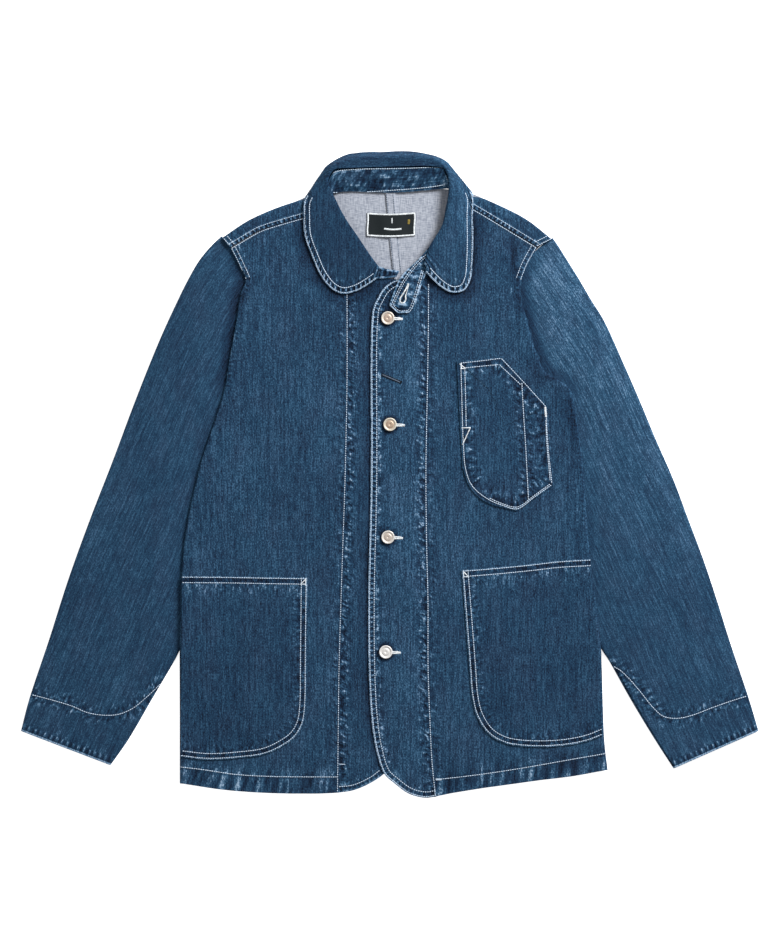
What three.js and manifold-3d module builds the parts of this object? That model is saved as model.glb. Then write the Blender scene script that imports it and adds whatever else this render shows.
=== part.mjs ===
// A denim chore jacket laid flat on its back: buttoned, collar open, sleeves drawn down beside the body.
// Millimetres. +X is the wearer's left, +Y runs from the hem to the collar, +Z up from the surface it lies on.
import * as THREE from "three";
import { mergeVertices } from "three/addons/utils/BufferGeometryUtils.js";
import Module from "manifold-3d";

const wasm = await Module();
wasm.setup();

// Cloth: one layer of denim, the interlined collar fall, the collar stand, and the gap at every seam
const CLOTH = 1.2;
const FALL_CLOTH = 2.2;
const STAND_CLOTH = 2.0;
const SEAM = 0.3;

// Heights of the middle of each layer, from the surface up
const BACK_MID = CLOTH / 2;
const LIP_MID = BACK_MID + CLOTH + SEAM;
const SLEEVE_EDGE_MID = 3.6;
const SLEEVE_CROWN_MID = 5.2;
const FRONT_MID = 5.3;
const FRONT_OVER_SLEEVE_MID = 7.5;
const LIP_OVER_SLEEVE_MID = SLEEVE_EDGE_MID + CLOTH + SEAM;

// The left front crosses over the right one at the centre
const OVERLAP = { rise: 1.6, fullTo: 20, goneAt: 46 };

// Folded edges: how far a fold's middle line bulges, and the turned-under lip behind it
const FOLD_REACH = 2.4;
const LIP_WIDTH = 3;

// An outline has a corner where it turns by more than this
const SHARP_TURN = THREE.MathUtils.degToRad(50);

// The sleeves lie under the body's side edges from here up
const TUCK = { starts: -250, full: -212, ramp: 55 };

// Each panel is drawn onto its hem line and its shoulder line over this share of its length
const DRAWN_IN = 0.2;
const BACK = { neckStarts: 0.8, hemDrawnIn: 0.15, flatEnds: 0.97, shoulderEase: 0.3 };

// Sleeves: how far the upper layer laps under the body, where the head starts, and how the top rounds off
// from its outer edge, beside the body and at the shoulder
const SLEEVE = { underBody: 5, headStarts: 0.72, edgeRound: 24, clear: 3, clearRound: 30, shoulderRound: 0.06 };

// Pressed folds fade out towards a side edge, and towards their own ends
const FOLD_CALM = { from: 6, over: 25 };
const FOLD_ENDS = { from: 0.15, over: 0.7 };

// What a pocket needs over the seam gap to lie clear of the front's facets
const POCKET_EASE = 0.45;

// Trims
const BUTTON = {
  capRadius: 8.5, capHeight: 2.6, capFoot: 0.8, rimHeight: 0.9, rimRound: 0.9, shoulderDrop: 0.5, domeShare: 0.55,
  domeDrop: 0.2, shankRadius: 2.4, holeRadius: 2.9, slit: 1.1, slitLength: 17,
};
const LABEL = { width: 58, height: 28, thickness: 0.8, x: 1.3, y: 298.4 };

const DENIM = 0x2f4c66;
const DENIM_INSIDE = 0xb6bdc7;
const BLACK_TAPE = 0x2b3639;
const TACK_METAL = 0xcfc2b4;

// A short table: the column names first, then one row for each point
const table = (names, ...rows) =>
  rows.map((row) => Object.fromEntries(names.map((name, i) => [name, row[i]])));
const XY = ["x", "y"];

// Outlines of the wearer's right half, hem upwards or cuff upwards
const RIGHT = {
  side: -1,
  edge: table(XY, [-252, -371], [-252, -295], [-252, -211], [-250, -125], [-247, -85], [-240, -43],
    [-226, 16], [-210, 64], [-198, 104], [-192, 140], [-185, 178], [-179, 216], [-173, 233],
    [-182, 253], [-191, 271]),
  front: table(XY, [-63, -382], [-44, -379], [-23, -370], [-7, -359], [5, -346], [13, -329], [18, -301],
    [18, -100], [18, 100], [18, 211], [14, 232], [-12, 237], [-36, 251], [-58, 273], [-74, 298],
    [-86, 313]),
  hem: table(XY, [-252, -371], [-205, -378], [-154, -382], [-92, -383], [-63, -382]),
  shoulderSeam: table(XY, [-191, 271], [-166, 286], [-155, 292], [-103, 308], [-86, 313]),
  shoulderFold: table(XY, [-201.5, 283], [-168, 305], [-122, 324], [-98, 329.5], [-84, 325]),
  backOuter: table(XY, [-250.5, -367], [-250.5, -240], [-250, -213], [-188.2, -85], [-152.2, 41],
    [-143.4, 89], [-147, 125], [-156.2, 185], [-171.2, 233], [-179.8, 253], [-189, 271.5], [-201.5, 283]),
  backHem: table(XY, [-250.5, -367], [-150, -362], [5.85, -348]),
  backCentre: table(XY, [5.85, -348], [5.85, 341]),
  backNeck: table(XY, [5.85, 341], [-20, 341], [-62, 340], [-76, 334], [-84, 325]),
  sleeveOuter: table(XY, [-442.6, -308], [-433, -271], [-409, -199], [-386, -127], [-360, -55],
    [-332, 17], [-305, 89], [-276, 161], [-254, 209], [-242, 233], [-228, 257], [-212, 276],
    [-203, 284]),
  sleeveInner: table(XY, [-335, -349], [-314, -319], [-286, -271], [-258, -223], [-252, -211],
    [-190, -85], [-154, 41], [-146, 89]),
  armhole: table(XY, [-203, 284], [-191, 271], [-182, 253], [-173, 233], [-158, 185], [-149, 125],
    [-146, 89]),
};

// Outlines of the wearer's left half
const LEFT = {
  side: 1,
  edge: table(XY, [261, -355], [257, -319], [253, -211], [250, -179], [241, -109], [236, -58], [232, 5],
    [224, 65], [216, 101], [199, 114], [186, 122], [174, 149], [164, 185], [156, 214], [157, 232],
    [164, 250], [176, 272]),
  front: table(XY, [56, -386], [44, -388], [31, -386], [19, -381], [6, -371], [-7, -359], [-17, -328],
    [-22, -295], [-25, -247], [-26, -151], [-23, -7], [-23, 156], [-22, 182], [-20, 199], [-14, 212],
    [-7, 223], [6, 232], [34, 235], [55, 254], [70, 281], [82, 314], [86, 325]),
  hem: table(XY, [261, -355], [222, -362], [181, -367], [152, -371], [108, -377], [77, -382], [56, -386]),
  shoulderSeam: table(XY, [176, 272], [137, 296], [100, 318], [86, 325]),
  shoulderFold: table(XY, [194.5, 281], [164, 305], [127, 324], [108, 331.5], [97, 332], [86, 328.5]),
  backOuter: table(XY, [259, -352], [255.5, -319], [250, -215], [217, -150], [187, -85], [152, 41],
    [143.4, 89], [147, 149], [153.2, 209], [158, 232], [166.6, 253.5], [178.8, 272.5], [194.5, 281]),
  backHem: table(XY, [259, -352], [150, -350], [6.15, -348]),
  backCentre: table(XY, [6.15, -348], [6.15, 341]),
  backNeck: table(XY, [6.15, 341], [30, 341], [64, 342], [77, 337], [86, 328.5]),
  sleeveOuter: table(XY, [442, -308], [431, -271], [407, -199], [392, -151], [376, -103], [358, -55],
    [340, -7], [319, 41], [299, 89], [278, 137], [256, 185], [241, 209], [227, 233], [212, 257],
    [200, 276], [196, 282]),
  sleeveInner: table(XY, [340, -353], [318, -319], [289, -271], [262, -223], [254, -211], [190, -85],
    [154, 41], [146, 89]),
  armhole: table(XY, [196, 282], [181, 272], [169, 253], [160, 232], [155, 209], [149, 149],
    [146, 89]),
};

// Pocket outlines: the top edge from the outer side inwards, then the edge from there down and round
const HIP_POCKET_RIGHT = {
  top: table(XY, [-246.5, -122], [-191, -122.5], [-136, -123.5], [-99, -124]),
  bottom: table(XY, [-248.6, -338.5], [-218, -342], [-181, -340], [-150, -335.5], [-128, -325.5],
    [-113, -314], [-104, -298], [-101, -278]),
};
const HIP_POCKET_LEFT = {
  top: table(XY, [238, -102], [201, -104], [166, -108], [113, -113], [86, -115]),
  bottom: table(XY, [252.6, -313], [236, -320], [201, -326], [159, -326], [137, -322], [118, -311],
    [104, -290], [98, -267]),
};
const CHEST_POCKET = {
  top: table(XY, [80, 135], [134, 140], [161, 110], [188, 80]),
  bottom: table(XY, [87, 8], [96, -16], [114, -33], [152, -44], [175, -28], [197, -13]),
};

// Broad troughs and ridges pressed into the cloth by wear: a line, how wide, and how far up or down
const FOLDS = table(["x1", "y1", "x2", "y2", "width", "rise"],
  [-198, 195, -187, 182, 12, -0.4],
  [147, 280, 148, 250, 10, -0.5],
  [186, 115, 222, 114, 12, -0.5],
  [215, 71, 228, 16, 18, -0.5],
  [226, -62, 230, -105, 14, -0.5],
  [-330, -70, -262, -35, 40, 0.4],
  [300, -120, 352, -150, 40, 0.4],
  [-160, 120, -60, 40, 60, 0.35],
  [60, 60, 200, -60, 60, 0.35],
  [-170, -40, -60, -90, 60, -0.35],
  [70, -60, 180, -90, 50, -0.35]);

// Collar stand, from the tip of its tab round the back to its plain end: lower edge, then upper edge
const STAND = table(["x", "y", "z", "topX", "topY", "topZ"],
  [28, 194.5, 8.9, -2, 200.6, 8.9],
  [39, 230, 8.7, 13, 236, 8.9],
  [46, 245, 8.0, 34, 257, 9.6],
  [60, 262, 7.4, 50, 276, 10.2],
  [73, 285, 7.4, 62, 297, 10.6],
  [82, 310, 7.6, 67, 320, 11.0],
  [83, 330, 8.2, 71, 343, 11.4],
  [70, 343, 3.6, 64, 366, 11.6],
  [8, 337.8, 3.0, 8, 367, 11.6],
  [-66, 337, 3.6, -66, 363, 11.4],
  [-81, 326, 8.0, -74, 350, 11.2],
  [-82, 300, 7.4, -68, 325, 10.8],
  [-68, 272, 7.3, -54, 298, 10.2],
  [-48, 250, 7.2, -35, 272, 9.4],
  [-30, 237, 7.2, -18, 252, 8.4],
  [-10, 234.5, 7.2, -6, 246, 7.6],
  [8, 236.4, 7.4, 11, 243, 7.4]);
const STAND_BOW = 0.5;

// The cut-off tip of the tab, from the stand's lower edge to its upper edge
const TAB_TIP = table(["share", "x", "y"], [0, 27, 198], [0.15, 22.8, 193.2], [0.6, 9.5, 192.6], [1, -0.5, 201.6]);

// Collar fall, from the left leaf's front end round the back to the right leaf's: where it leaves the
// stand, its roll, its widest point and its free edge
const FALL = table(["x", "y", "z", "rollX", "rollY", "rollZ", "midX", "midY", "midZ", "edgeX", "edgeY", "edgeZ"],
  [41, 252, 11.8, 43.2, 248, 12.4, 43.2, 245, 11.8, 42.8, 241.9, 10.8],
  [43, 258, 11.8, 45, 254.4, 12.8, 47.5, 245, 11.6, 50.4, 233.6, 8.8],
  [45.5, 266, 11.6, 47, 262.8, 13.0, 53, 245, 10.9, 61.2, 223.9, 7.6],
  [48.5, 273.5, 12.1, 49.2, 270, 13.2, 60, 246, 10.8, 74.4, 217.4, 7.5],
  [53.5, 281.5, 12.4, 54, 279, 13.4, 69, 252, 10.8, 88.8, 220.2, 7.5],
  [61, 293.5, 12.2, 61, 289.5, 13.6, 78, 263, 11.0, 96, 232.2, 7.5],
  [65.2, 304, 12.4, 66, 300, 13.8, 83, 278, 11.2, 98.6, 254.4, 7.5],
  [68, 318, 12.6, 69, 313, 14.0, 85, 297, 11.6, 99.4, 280.8, 7.6],
  [70.4, 334, 12.8, 70.6, 327, 14.2, 86, 318, 11.8, 99, 309.6, 7.8],
  [71, 347, 13.0, 72, 341, 14.2, 87, 335, 11.6, 99.6, 329, 8.6],
  [69.4, 357, 13.0, 72.5, 352, 14.0, 87, 346, 9.0, 96.6, 339, 4.4],
  [65, 366.4, 13.0, 67.5, 364, 14.2, 79, 357, 6.6, 86, 344, 1.5],
  [54, 368.2, 13.0, 56, 375, 14.2, 66, 375, 4.6, 62, 344.5, 1.4],
  [30, 368.4, 13.0, 30, 379, 14.4, 31, 385.4, 4.0, 30, 344.5, 1.4],
  [-10, 367.4, 13.0, -10, 379, 14.4, -10, 385.6, 4.0, -10, 344.5, 1.4],
  [-46, 366, 13.0, -48, 376, 14.2, -51, 382.4, 4.2, -46, 344.5, 1.4],
  [-66.6, 364.4, 12.8, -66, 369, 14.0, -76, 368, 5.4, -70, 345, 1.5],
  [-73, 356, 12.8, -73, 359, 13.8, -86, 350.5, 6.6, -88, 342, 1.8],
  [-74.6, 348, 12.6, -76, 352, 13.8, -92, 341.5, 8.6, -99, 334, 4.6],
  [-73, 340, 12.4, -74.5, 346, 13.8, -93.5, 333, 11.4, -102.6, 326, 8.8],
  [-67.6, 327.2, 12.2, -67.2, 331.2, 13.6, -87, 312, 11.6, -103.2, 307, 7.9],
  [-60, 313, 12.0, -58.8, 315, 13.4, -80, 296, 11.2, -102, 286, 7.6],
  [-52, 298, 11.8, -49.2, 298, 13.2, -72, 280, 11.0, -93.6, 261.6, 7.5],
  [-43, 285, 11.4, -39.6, 284, 12.8, -60, 262, 10.8, -82.8, 237.6, 7.5],
  [-34, 273.5, 11.6, -31.2, 271.6, 12.8, -48, 250, 10.8, -70, 222, 7.5],
  [-28, 266, 11.3, -24.6, 261.4, 12.2, -39, 244, 10.8, -56.4, 216, 7.5],
  [-22, 258, 10.9, -19, 252.4, 11.7, -28, 240, 10.7, -40, 219.4, 7.6],
  [-17.5, 252.8, 10.8, -14.4, 245.4, 11.4, -20, 238.4, 10.7, -26, 227, 8.3],
  [-14.5, 248, 10.4, -13.4, 243, 11.0, -14, 239.4, 10.6, -14.6, 235, 10.0]);

const BUTTON_PLACES = table(XY, [-2.6, 186.8], [0, 59.4], [-2.4, -75.6], [-5, -213]);
const WATCH_SLIT = { x1: -9, y1: 119, x2: 13, y2: 110, width: 1 };
const TAB_SLIT = { x1: 21.5, y1: 225, x2: 16, y2: 208, width: 1.6 };

// A smooth step from 0 to 1
function smooth(t) {
  const c = THREE.MathUtils.clamp(t, 0, 1);
  return c * c * (3 - 2 * c);
}

// A smooth line through a table's points, with corners where it turns sharply, read by its share of the length
function line(points) {
  const places = points.map((p) => new THREE.Vector3(p.x, p.y, p.z ?? 0));
  const path = new THREE.CurvePath();
  let start = 0;
  for (let i = 1; i < places.length; i++) {
    const before = places[i].clone().sub(places[i - 1]);
    const after = i + 1 < places.length ? places[i + 1].clone().sub(places[i]) : before.clone().negate();
    if (before.angleTo(after) > SHARP_TURN) {
      path.add(new THREE.CatmullRomCurve3(places.slice(start, i + 1), false, "centripetal"));
      start = i;
    }
  }
  return (t) => path.getPoint(THREE.MathUtils.clamp(t, 0, 1));
}

// Where a half's side edge stands at a height y
function edgeX(half, y) {
  const rows = half.edge;
  if (y <= rows[0].y) return rows[0].x;
  for (let i = 1; i < rows.length; i++) {
    if (y <= rows[i].y) {
      const t = (y - rows[i - 1].y) / (rows[i].y - rows[i - 1].y);
      return THREE.MathUtils.lerp(rows[i - 1].x, rows[i].x, t);
    }
  }
  return rows[rows.length - 1].x;
}

// How far a point lies outside a half's side edge, zero inside it
function outsideBody(half, point) {
  const rows = half.edge;
  let nearest = Infinity;
  for (let i = 1; i < rows.length; i++) {
    const from = new THREE.Vector3(rows[i - 1].x, rows[i - 1].y, 0);
    const piece = new THREE.Line3(from, new THREE.Vector3(rows[i].x, rows[i].y, 0));
    const flat = new THREE.Vector3(point.x, point.y, 0);
    nearest = Math.min(nearest, piece.closestPointToPoint(flat, true, new THREE.Vector3()).distanceTo(flat));
  }
  return (point.x - edgeX(half, point.y)) * half.side > 0 ? nearest : 0;
}

// The lift that a tucked sleeve gives to the body's edge, from 0 to 1
function tuckLift(half, x, y) {
  const inward = (edgeX(half, y) - x) * half.side;
  const along = smooth((y - TUCK.starts) / (TUCK.full - TUCK.starts));
  return along * smooth(1 - inward / TUCK.ramp);
}

// The pressed folds at a point
function foldRise(x, y) {
  let rise = 0;
  for (const fold of FOLDS) {
    const along = new THREE.Vector2(fold.x2 - fold.x1, fold.y2 - fold.y1);
    const from = new THREE.Vector2(x - fold.x1, y - fold.y1);
    const t = THREE.MathUtils.clamp(from.dot(along) / along.lengthSq(), 0, 1);
    const away = from.addScaledVector(along, -t).length();
    const swell = Math.sin(Math.PI * (FOLD_ENDS.from + FOLD_ENDS.over * t));
    rise += fold.rise * smooth(1 - away / fold.width) * swell;
  }
  return rise;
}

function frontMid(half, x, y) {
  const lift = (FRONT_OVER_SLEEVE_MID - FRONT_MID) * tuckLift(half, x, y);
  const crossing = smooth((OVERLAP.goneAt - x) / (OVERLAP.goneAt - OVERLAP.fullTo));
  const overlap = half.side > 0 ? OVERLAP.rise * crossing : 0;
  const calm = smooth(((edgeX(half, y) - x) * half.side - FOLD_CALM.from) / FOLD_CALM.over);
  return FRONT_MID + lift + overlap + foldRise(x, y) * calm;
}

function lipMid(half, y) {
  const along = smooth((y - TUCK.starts) / (TUCK.full - TUCK.starts));
  return THREE.MathUtils.lerp(LIP_MID, LIP_OVER_SLEEVE_MID, along);
}

// A closed wall of cloth round a grid of middle points, rows of equal length; a ring closes on itself
function wall(grid, thickness, ring = false) {
  const rows = grid.length;
  const columns = grid[0].length;
  const column = (c) => (ring ? (c + columns) % columns : THREE.MathUtils.clamp(c, 0, columns - 1));
  const row = (r) => THREE.MathUtils.clamp(r, 0, rows - 1);
  const positions = [];
  for (const side of [0.5, -0.5]) {
    for (let r = 0; r < rows; r++) {
      for (let c = 0; c < columns; c++) {
        const across = grid[r][column(c + 1)].clone().sub(grid[r][column(c - 1)]);
        const along = grid[row(r + 1)][c].clone().sub(grid[row(r - 1)][c]);
        const normal = across.cross(along).normalize();
        const point = grid[r][c].clone().addScaledVector(normal, side * thickness);
        positions.push(point.x, point.y, point.z);
      }
    }
  }
  const outer = (r, c) => r * columns + column(c);
  const inner = (r, c) => rows * columns + outer(r, c);
  const indices = [];
  const quad = (a, b, c, d) => indices.push(a, b, c, a, c, d);
  const lastColumn = ring ? columns : columns - 1;
  for (let r = 0; r < rows - 1; r++) {
    for (let c = 0; c < lastColumn; c++) {
      quad(outer(r, c), outer(r, c + 1), outer(r + 1, c + 1), outer(r + 1, c));
      quad(inner(r, c), inner(r + 1, c), inner(r + 1, c + 1), inner(r, c + 1));
    }
    if (!ring) {
      quad(outer(r, 0), outer(r + 1, 0), inner(r + 1, 0), inner(r, 0));
      quad(outer(r, lastColumn), inner(r, lastColumn), inner(r + 1, lastColumn), outer(r + 1, lastColumn));
    }
  }
  for (let c = 0; c < lastColumn; c++) {
    quad(outer(0, c), inner(0, c), inner(0, c + 1), outer(0, c + 1));
    quad(outer(rows - 1, c), outer(rows - 1, c + 1), inner(rows - 1, c + 1), inner(rows - 1, c));
  }
  return facingOut(positions, indices);
}

// A geometry whose faces point out of the solid
function facingOut(positions, indices) {
  const at = (i) => new THREE.Vector3(positions[3 * i], positions[3 * i + 1], positions[3 * i + 2]);
  let volume = 0;
  for (let i = 0; i < indices.length; i += 3) {
    volume += at(indices[i]).dot(at(indices[i + 1]).cross(at(indices[i + 2])));
  }
  if (volume < 0) {
    for (let i = 0; i < indices.length; i += 3) {
      [indices[i + 1], indices[i + 2]] = [indices[i + 2], indices[i + 1]];
    }
  }
  const geometry = new THREE.BufferGeometry();
  geometry.setAttribute("position", new THREE.Float32BufferAttribute(positions, 3));
  geometry.setIndex(indices);
  return geometry;
}

const jacket = new THREE.Group();

function add(name, geometry, color, roughness = 0.85, metalness = 0) {
  const mesh = new THREE.Mesh(geometry, new THREE.MeshStandardMaterial({ color, roughness, metalness }));
  mesh.name = name;
  jacket.add(mesh);
  return mesh;
}

// Half a turn of folded cloth, from underneath round the outside to the top
function foldRound(outline, inward, lowMid, highMid, outerGap) {
  const centre = outline.clone().addScaledVector(inward, outerGap + FOLD_REACH);
  return [-90, -45, 0, 45, 90].map((degrees) => {
    const turn = THREE.MathUtils.degToRad(degrees);
    const point = centre.clone().addScaledVector(inward, -FOLD_REACH * Math.cos(turn));
    point.z = (highMid + lowMid) / 2 + ((highMid - lowMid) / 2) * Math.sin(turn);
    return point;
  });
}

// Rows stand closer together near both ends, where the outlines curve most
function closerAtEnds(t) {
  return t - (0.5 * Math.sin(2 * Math.PI * t)) / (2 * Math.PI);
}

// Middle points of a front: hem to shoulder, turned-under lip to free front edge
function frontGrid(half, rows, columns) {
  const side = line(half.edge);
  const front = line(half.front);
  const hem = line(half.hem);
  const shoulder = line(half.shoulderSeam);
  const inward = new THREE.Vector3(-half.side, 0, 0);
  const grid = [];
  for (let r = 0; r <= rows; r++) {
    const v = closerAtEnds(r / rows);
    const from = side(v);
    const to = front(v);
    const rim = foldRound(from, inward, lipMid(half, from.y), frontMid(half, from.x, from.y), CLOTH / 2);
    const lip = rim[0].clone().addScaledVector(inward, LIP_WIDTH);
    const start = rim[4];
    const points = [lip, ...rim];
    for (let c = 1; c <= columns; c++) {
      const u = c / columns;
      const straight = start.clone().lerp(to, u);
      const hemPull = hem(u).sub(side(0).lerp(front(0), u)).multiplyScalar(smooth(1 - v / DRAWN_IN));
      const topPull = shoulder(u).sub(side(1).lerp(front(1), u));
      topPull.multiplyScalar(smooth((v - 1 + DRAWN_IN) / DRAWN_IN));
      const point = straight.add(hemPull).add(topPull);
      point.z = frontMid(half, point.x, point.y);
      points.push(point);
    }
    grid.push(points);
  }
  return grid;
}

// The back of one side: flat on the surface, up over the shoulder and down to the shoulder seam
function backPanel(half, rows, columns) {
  const outerEdge = line(half.backOuter);
  const centre = line(half.backCentre);
  const neck = line(half.backNeck);
  const start = BACK.neckStarts;
  const innerEdge = (v) => (v < start ? centre(v / start) : neck((v - start) / (1 - start)));
  const hem = line(half.backHem);
  const fold = line(half.shoulderFold);
  const seam = line(half.shoulderSeam);
  const flatRow = (v) => {
    const points = [];
    for (let c = 0; c <= columns; c++) {
      const u = c / columns;
      const point = outerEdge(v).lerp(innerEdge(v), u);
      point.add(hem(u).sub(outerEdge(0).lerp(innerEdge(0), u)).multiplyScalar(smooth(1 - v / BACK.hemDrawnIn)));
      const topPull = fold(u).sub(outerEdge(1).lerp(innerEdge(1), u));
      point.addScaledVector(topPull, smooth((v - 1 + DRAWN_IN) / DRAWN_IN));
      point.z = BACK_MID;
      points.push(point);
    }
    return points;
  };
  const grid = [];
  for (let r = 0; r < rows; r++) grid.push(flatRow(r / rows));
  grid.push(flatRow(BACK.flatEnds));
  const foldRows = [];
  for (let c = 0; c <= columns; c++) {
    const u = c / columns;
    const down = seam(u).sub(fold(u)).normalize();
    const end = seam(u).addScaledVector(down, -SEAM - BACK.shoulderEase);
    end.z = frontMid(half, end.x, end.y);
    foldRows.push([...foldRound(fold(u), down, BACK_MID, end.z, CLOTH / 2), end]);
  }
  for (let i = 0; i < foldRows[0].length; i++) grid.push(foldRows.map((points) => points[i]));
  return wall(grid, CLOTH);
}

// A sleeve: a flattened tube from cuff to armhole, its upper layer reaching under the body's edge
function sleeve(half, rows, columns) {
  const outer = line(half.sleeveOuter);
  const inner = line(half.sleeveInner);
  const armhole = line(half.armhole);
  const grid = [];
  for (let r = 0; r <= rows; r++) {
    const s = r / rows;
    const from = outer(s);
    const to = inner(s);
    const across = to.clone().sub(from).normalize();
    const headPull = smooth((s - SLEEVE.headStarts) / (1 - SLEEVE.headStarts));
    const place = (w, lap) => {
      const point = from.clone().lerp(to, w);
      const row = armhole(w).sub(outer(1).lerp(inner(1), w));
      point.addScaledVector(row, headPull);
      point.x -= half.side * lap * SLEEVE.underBody * headPull * smooth(w / 0.2) * smooth((1 - w) / 0.1);
      return point;
    };
    const top = (point) => {
      const toOuter = point.distanceTo(new THREE.Vector3(from.x, from.y, point.z));
      const shoulder = smooth((1 - s) / SLEEVE.shoulderRound);
      const clear = smooth((outsideBody(half, point) - SLEEVE.clear) / SLEEVE.clearRound);
      const crown = smooth(toOuter / SLEEVE.edgeRound) * clear * shoulder;
      point.z = SLEEVE_EDGE_MID + (SLEEVE_CROWN_MID - SLEEVE_EDGE_MID + foldRise(point.x, point.y)) * crown;
      return point;
    };
    const outerRim = foldRound(place(0, 0), across, BACK_MID, SLEEVE_EDGE_MID, CLOTH / 2);
    const innerRim = foldRound(place(1, 0), across.clone().negate(), BACK_MID, SLEEVE_EDGE_MID, CLOTH / 2);
    const upper = [];
    const under = [];
    for (let c = 1; c < columns; c++) {
      const w = c / columns;
      upper.push(top(place(w, 1)));
      const low = place(w, 0);
      low.z = BACK_MID;
      under.push(low);
    }
    grid.push([...outerRim, ...upper, ...innerRim.reverse(), ...under.reverse()]);
  }
  return wall(grid, CLOTH, true);
}

// The middle height of a front read from its own facets, so what is sewn on lies just above them. The first
// columns, the lip and the underside of the fold, lie beneath the rest.
const UNDERSIDE_COLUMNS = 4;

function heightOn(grid, x, y) {
  let best = -Infinity;
  const point = new THREE.Vector2(x, y);
  const inside = (a, b, c) => {
    const cross = (p, q, s) => (q.x - p.x) * (s.y - p.y) - (q.y - p.y) * (s.x - p.x);
    const area = cross(a, b, c);
    const wa = cross(b, c, point) / area;
    const wb = cross(c, a, point) / area;
    const wc = 1 - wa - wb;
    if (Math.min(wa, wb, wc) < -0.001) return;
    best = Math.max(best, wa * a.z + wb * b.z + wc * c.z);
  };
  for (let r = 0; r < grid.length - 1; r++) {
    for (let c = UNDERSIDE_COLUMNS; c < grid[0].length - 1; c++) {
      inside(grid[r][c], grid[r][c + 1], grid[r + 1][c + 1]);
      inside(grid[r][c], grid[r + 1][c + 1], grid[r + 1][c]);
    }
  }
  return best;
}

// A patch pocket laid on a front: top edge and lower edge joined by straight-hanging rows
function pocket(frontPoints, outline, rows, columns) {
  const lie = CLOTH + SEAM + POCKET_EASE;
  const top = line(outline.top);
  const bottom = line(outline.bottom);
  const grid = [];
  for (let r = 0; r <= rows; r++) {
    const points = [];
    for (let c = 0; c <= columns; c++) {
      const point = bottom(c / columns).lerp(top(c / columns), r / rows);
      point.z = heightOn(frontPoints, point.x, point.y) + lie;
      points.push(point);
    }
    grid.push(points);
  }
  return wall(grid, CLOTH);
}

// Where the tab's tip lies at a share of the stand's width
function tabTip(u) {
  const next = Math.max(1, TAB_TIP.findIndex((row) => row.share >= u));
  const [from, to] = [TAB_TIP[next - 1], TAB_TIP[next]];
  const t = (u - from.share) / (to.share - from.share);
  return { x: THREE.MathUtils.lerp(from.x, to.x, t), y: THREE.MathUtils.lerp(from.y, to.y, t) };
}

// The collar stand with its buttonhole tab, and the fall that rolls over it
function collarStand(stations, columns) {
  const low = line(STAND.map(({ x, y, z }) => ({ x, y, z })));
  const high = line(STAND.map(({ topX, topY, topZ }) => ({ x: topX, y: topY, z: topZ })));
  const grid = [];
  for (let s = 0; s <= stations; s++) {
    const points = [];
    for (let c = 0; c <= columns; c++) {
      const u = c / columns;
      const point = low(s / stations).lerp(high(s / stations), u);
      point.z += STAND_BOW * Math.sin(Math.PI * u);
      if (s === 0) {
        const tip = tabTip(u);
        point.set(tip.x, tip.y, point.z);
      }
      points.push(point);
    }
    grid.push(points);
  }
  return wall(grid, STAND_CLOTH);
}

function collarFall(stations, columns) {
  const ends = ["", "roll", "mid", "edge"].map((end) => {
    const key = (axis) => (end ? end + axis.toUpperCase() : axis);
    return line(FALL.map((row) => ({ x: row[key("x")], y: row[key("y")], z: row[key("z")] })));
  });
  const grid = [];
  for (let s = 0; s <= stations; s++) {
    const section = new THREE.CatmullRomCurve3(ends.map((end) => end(s / stations)), false, "centripetal");
    grid.push(section.getPoints(columns));
  }
  return wall(grid, FALL_CLOTH);
}

// A slit or hole cut right through a piece with a tall thin solid
const CUTTER_HEIGHT = 40;

function asSolid(geometry) {
  const bare = geometry.clone();
  bare.deleteAttribute("normal");
  bare.deleteAttribute("uv");
  const merged = mergeVertices(bare, 1e-5);
  return new wasm.Manifold(new wasm.Mesh({
    numProp: 3,
    vertProperties: new Float32Array(merged.attributes.position.array),
    triVerts: new Uint32Array(merged.index.array),
  }));
}

function asGeometry(solid) {
  const mesh = solid.getMesh();
  const geometry = new THREE.BufferGeometry();
  geometry.setAttribute("position", new THREE.BufferAttribute(mesh.vertProperties, 3));
  geometry.setIndex(new THREE.BufferAttribute(mesh.triVerts, 1));
  return geometry;
}

function slitCutter({ x1, y1, x2, y2, width }) {
  const length = Math.hypot(x2 - x1, y2 - y1);
  const cutter = new THREE.BoxGeometry(length, width, CUTTER_HEIGHT);
  cutter.rotateZ(Math.atan2(y2 - y1, x2 - x1));
  cutter.translate((x1 + x2) / 2, (y1 + y2) / 2, 0);
  return cutter;
}

function holeCutter({ x, y }) {
  const cutter = new THREE.CylinderGeometry(BUTTON.holeRadius, BUTTON.holeRadius, CUTTER_HEIGHT, 12);
  cutter.rotateX(Math.PI / 2);
  cutter.translate(x, y, 0);
  return cutter;
}

function cut(geometry, cutters) {
  return asGeometry(cutters.reduce((solid, cutter) => solid.subtract(asSolid(cutter)), asSolid(geometry)));
}

// A tack button: a domed metal cap on a shank that passes through the buttonhole
function button(place, under, over) {
  const base = under + CLOTH / 2 + SEAM;
  const capBase = over + CLOTH / 2 + SEAM;
  const cap = capBase + BUTTON.capHeight;
  const profile = [
    [0, base], [BUTTON.shankRadius, base], [BUTTON.shankRadius, capBase],
    [BUTTON.capRadius - BUTTON.capFoot, capBase], [BUTTON.capRadius, capBase + BUTTON.rimHeight],
    [BUTTON.capRadius - BUTTON.rimRound, cap - BUTTON.shoulderDrop],
    [BUTTON.capRadius * BUTTON.domeShare, cap - BUTTON.domeDrop], [0, cap],
  ].map(([radius, z]) => new THREE.Vector2(radius, z));
  const geometry = new THREE.LatheGeometry(profile, 20);
  geometry.rotateX(Math.PI / 2);
  geometry.translate(place.x, place.y, 0);
  return geometry;
}

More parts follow.
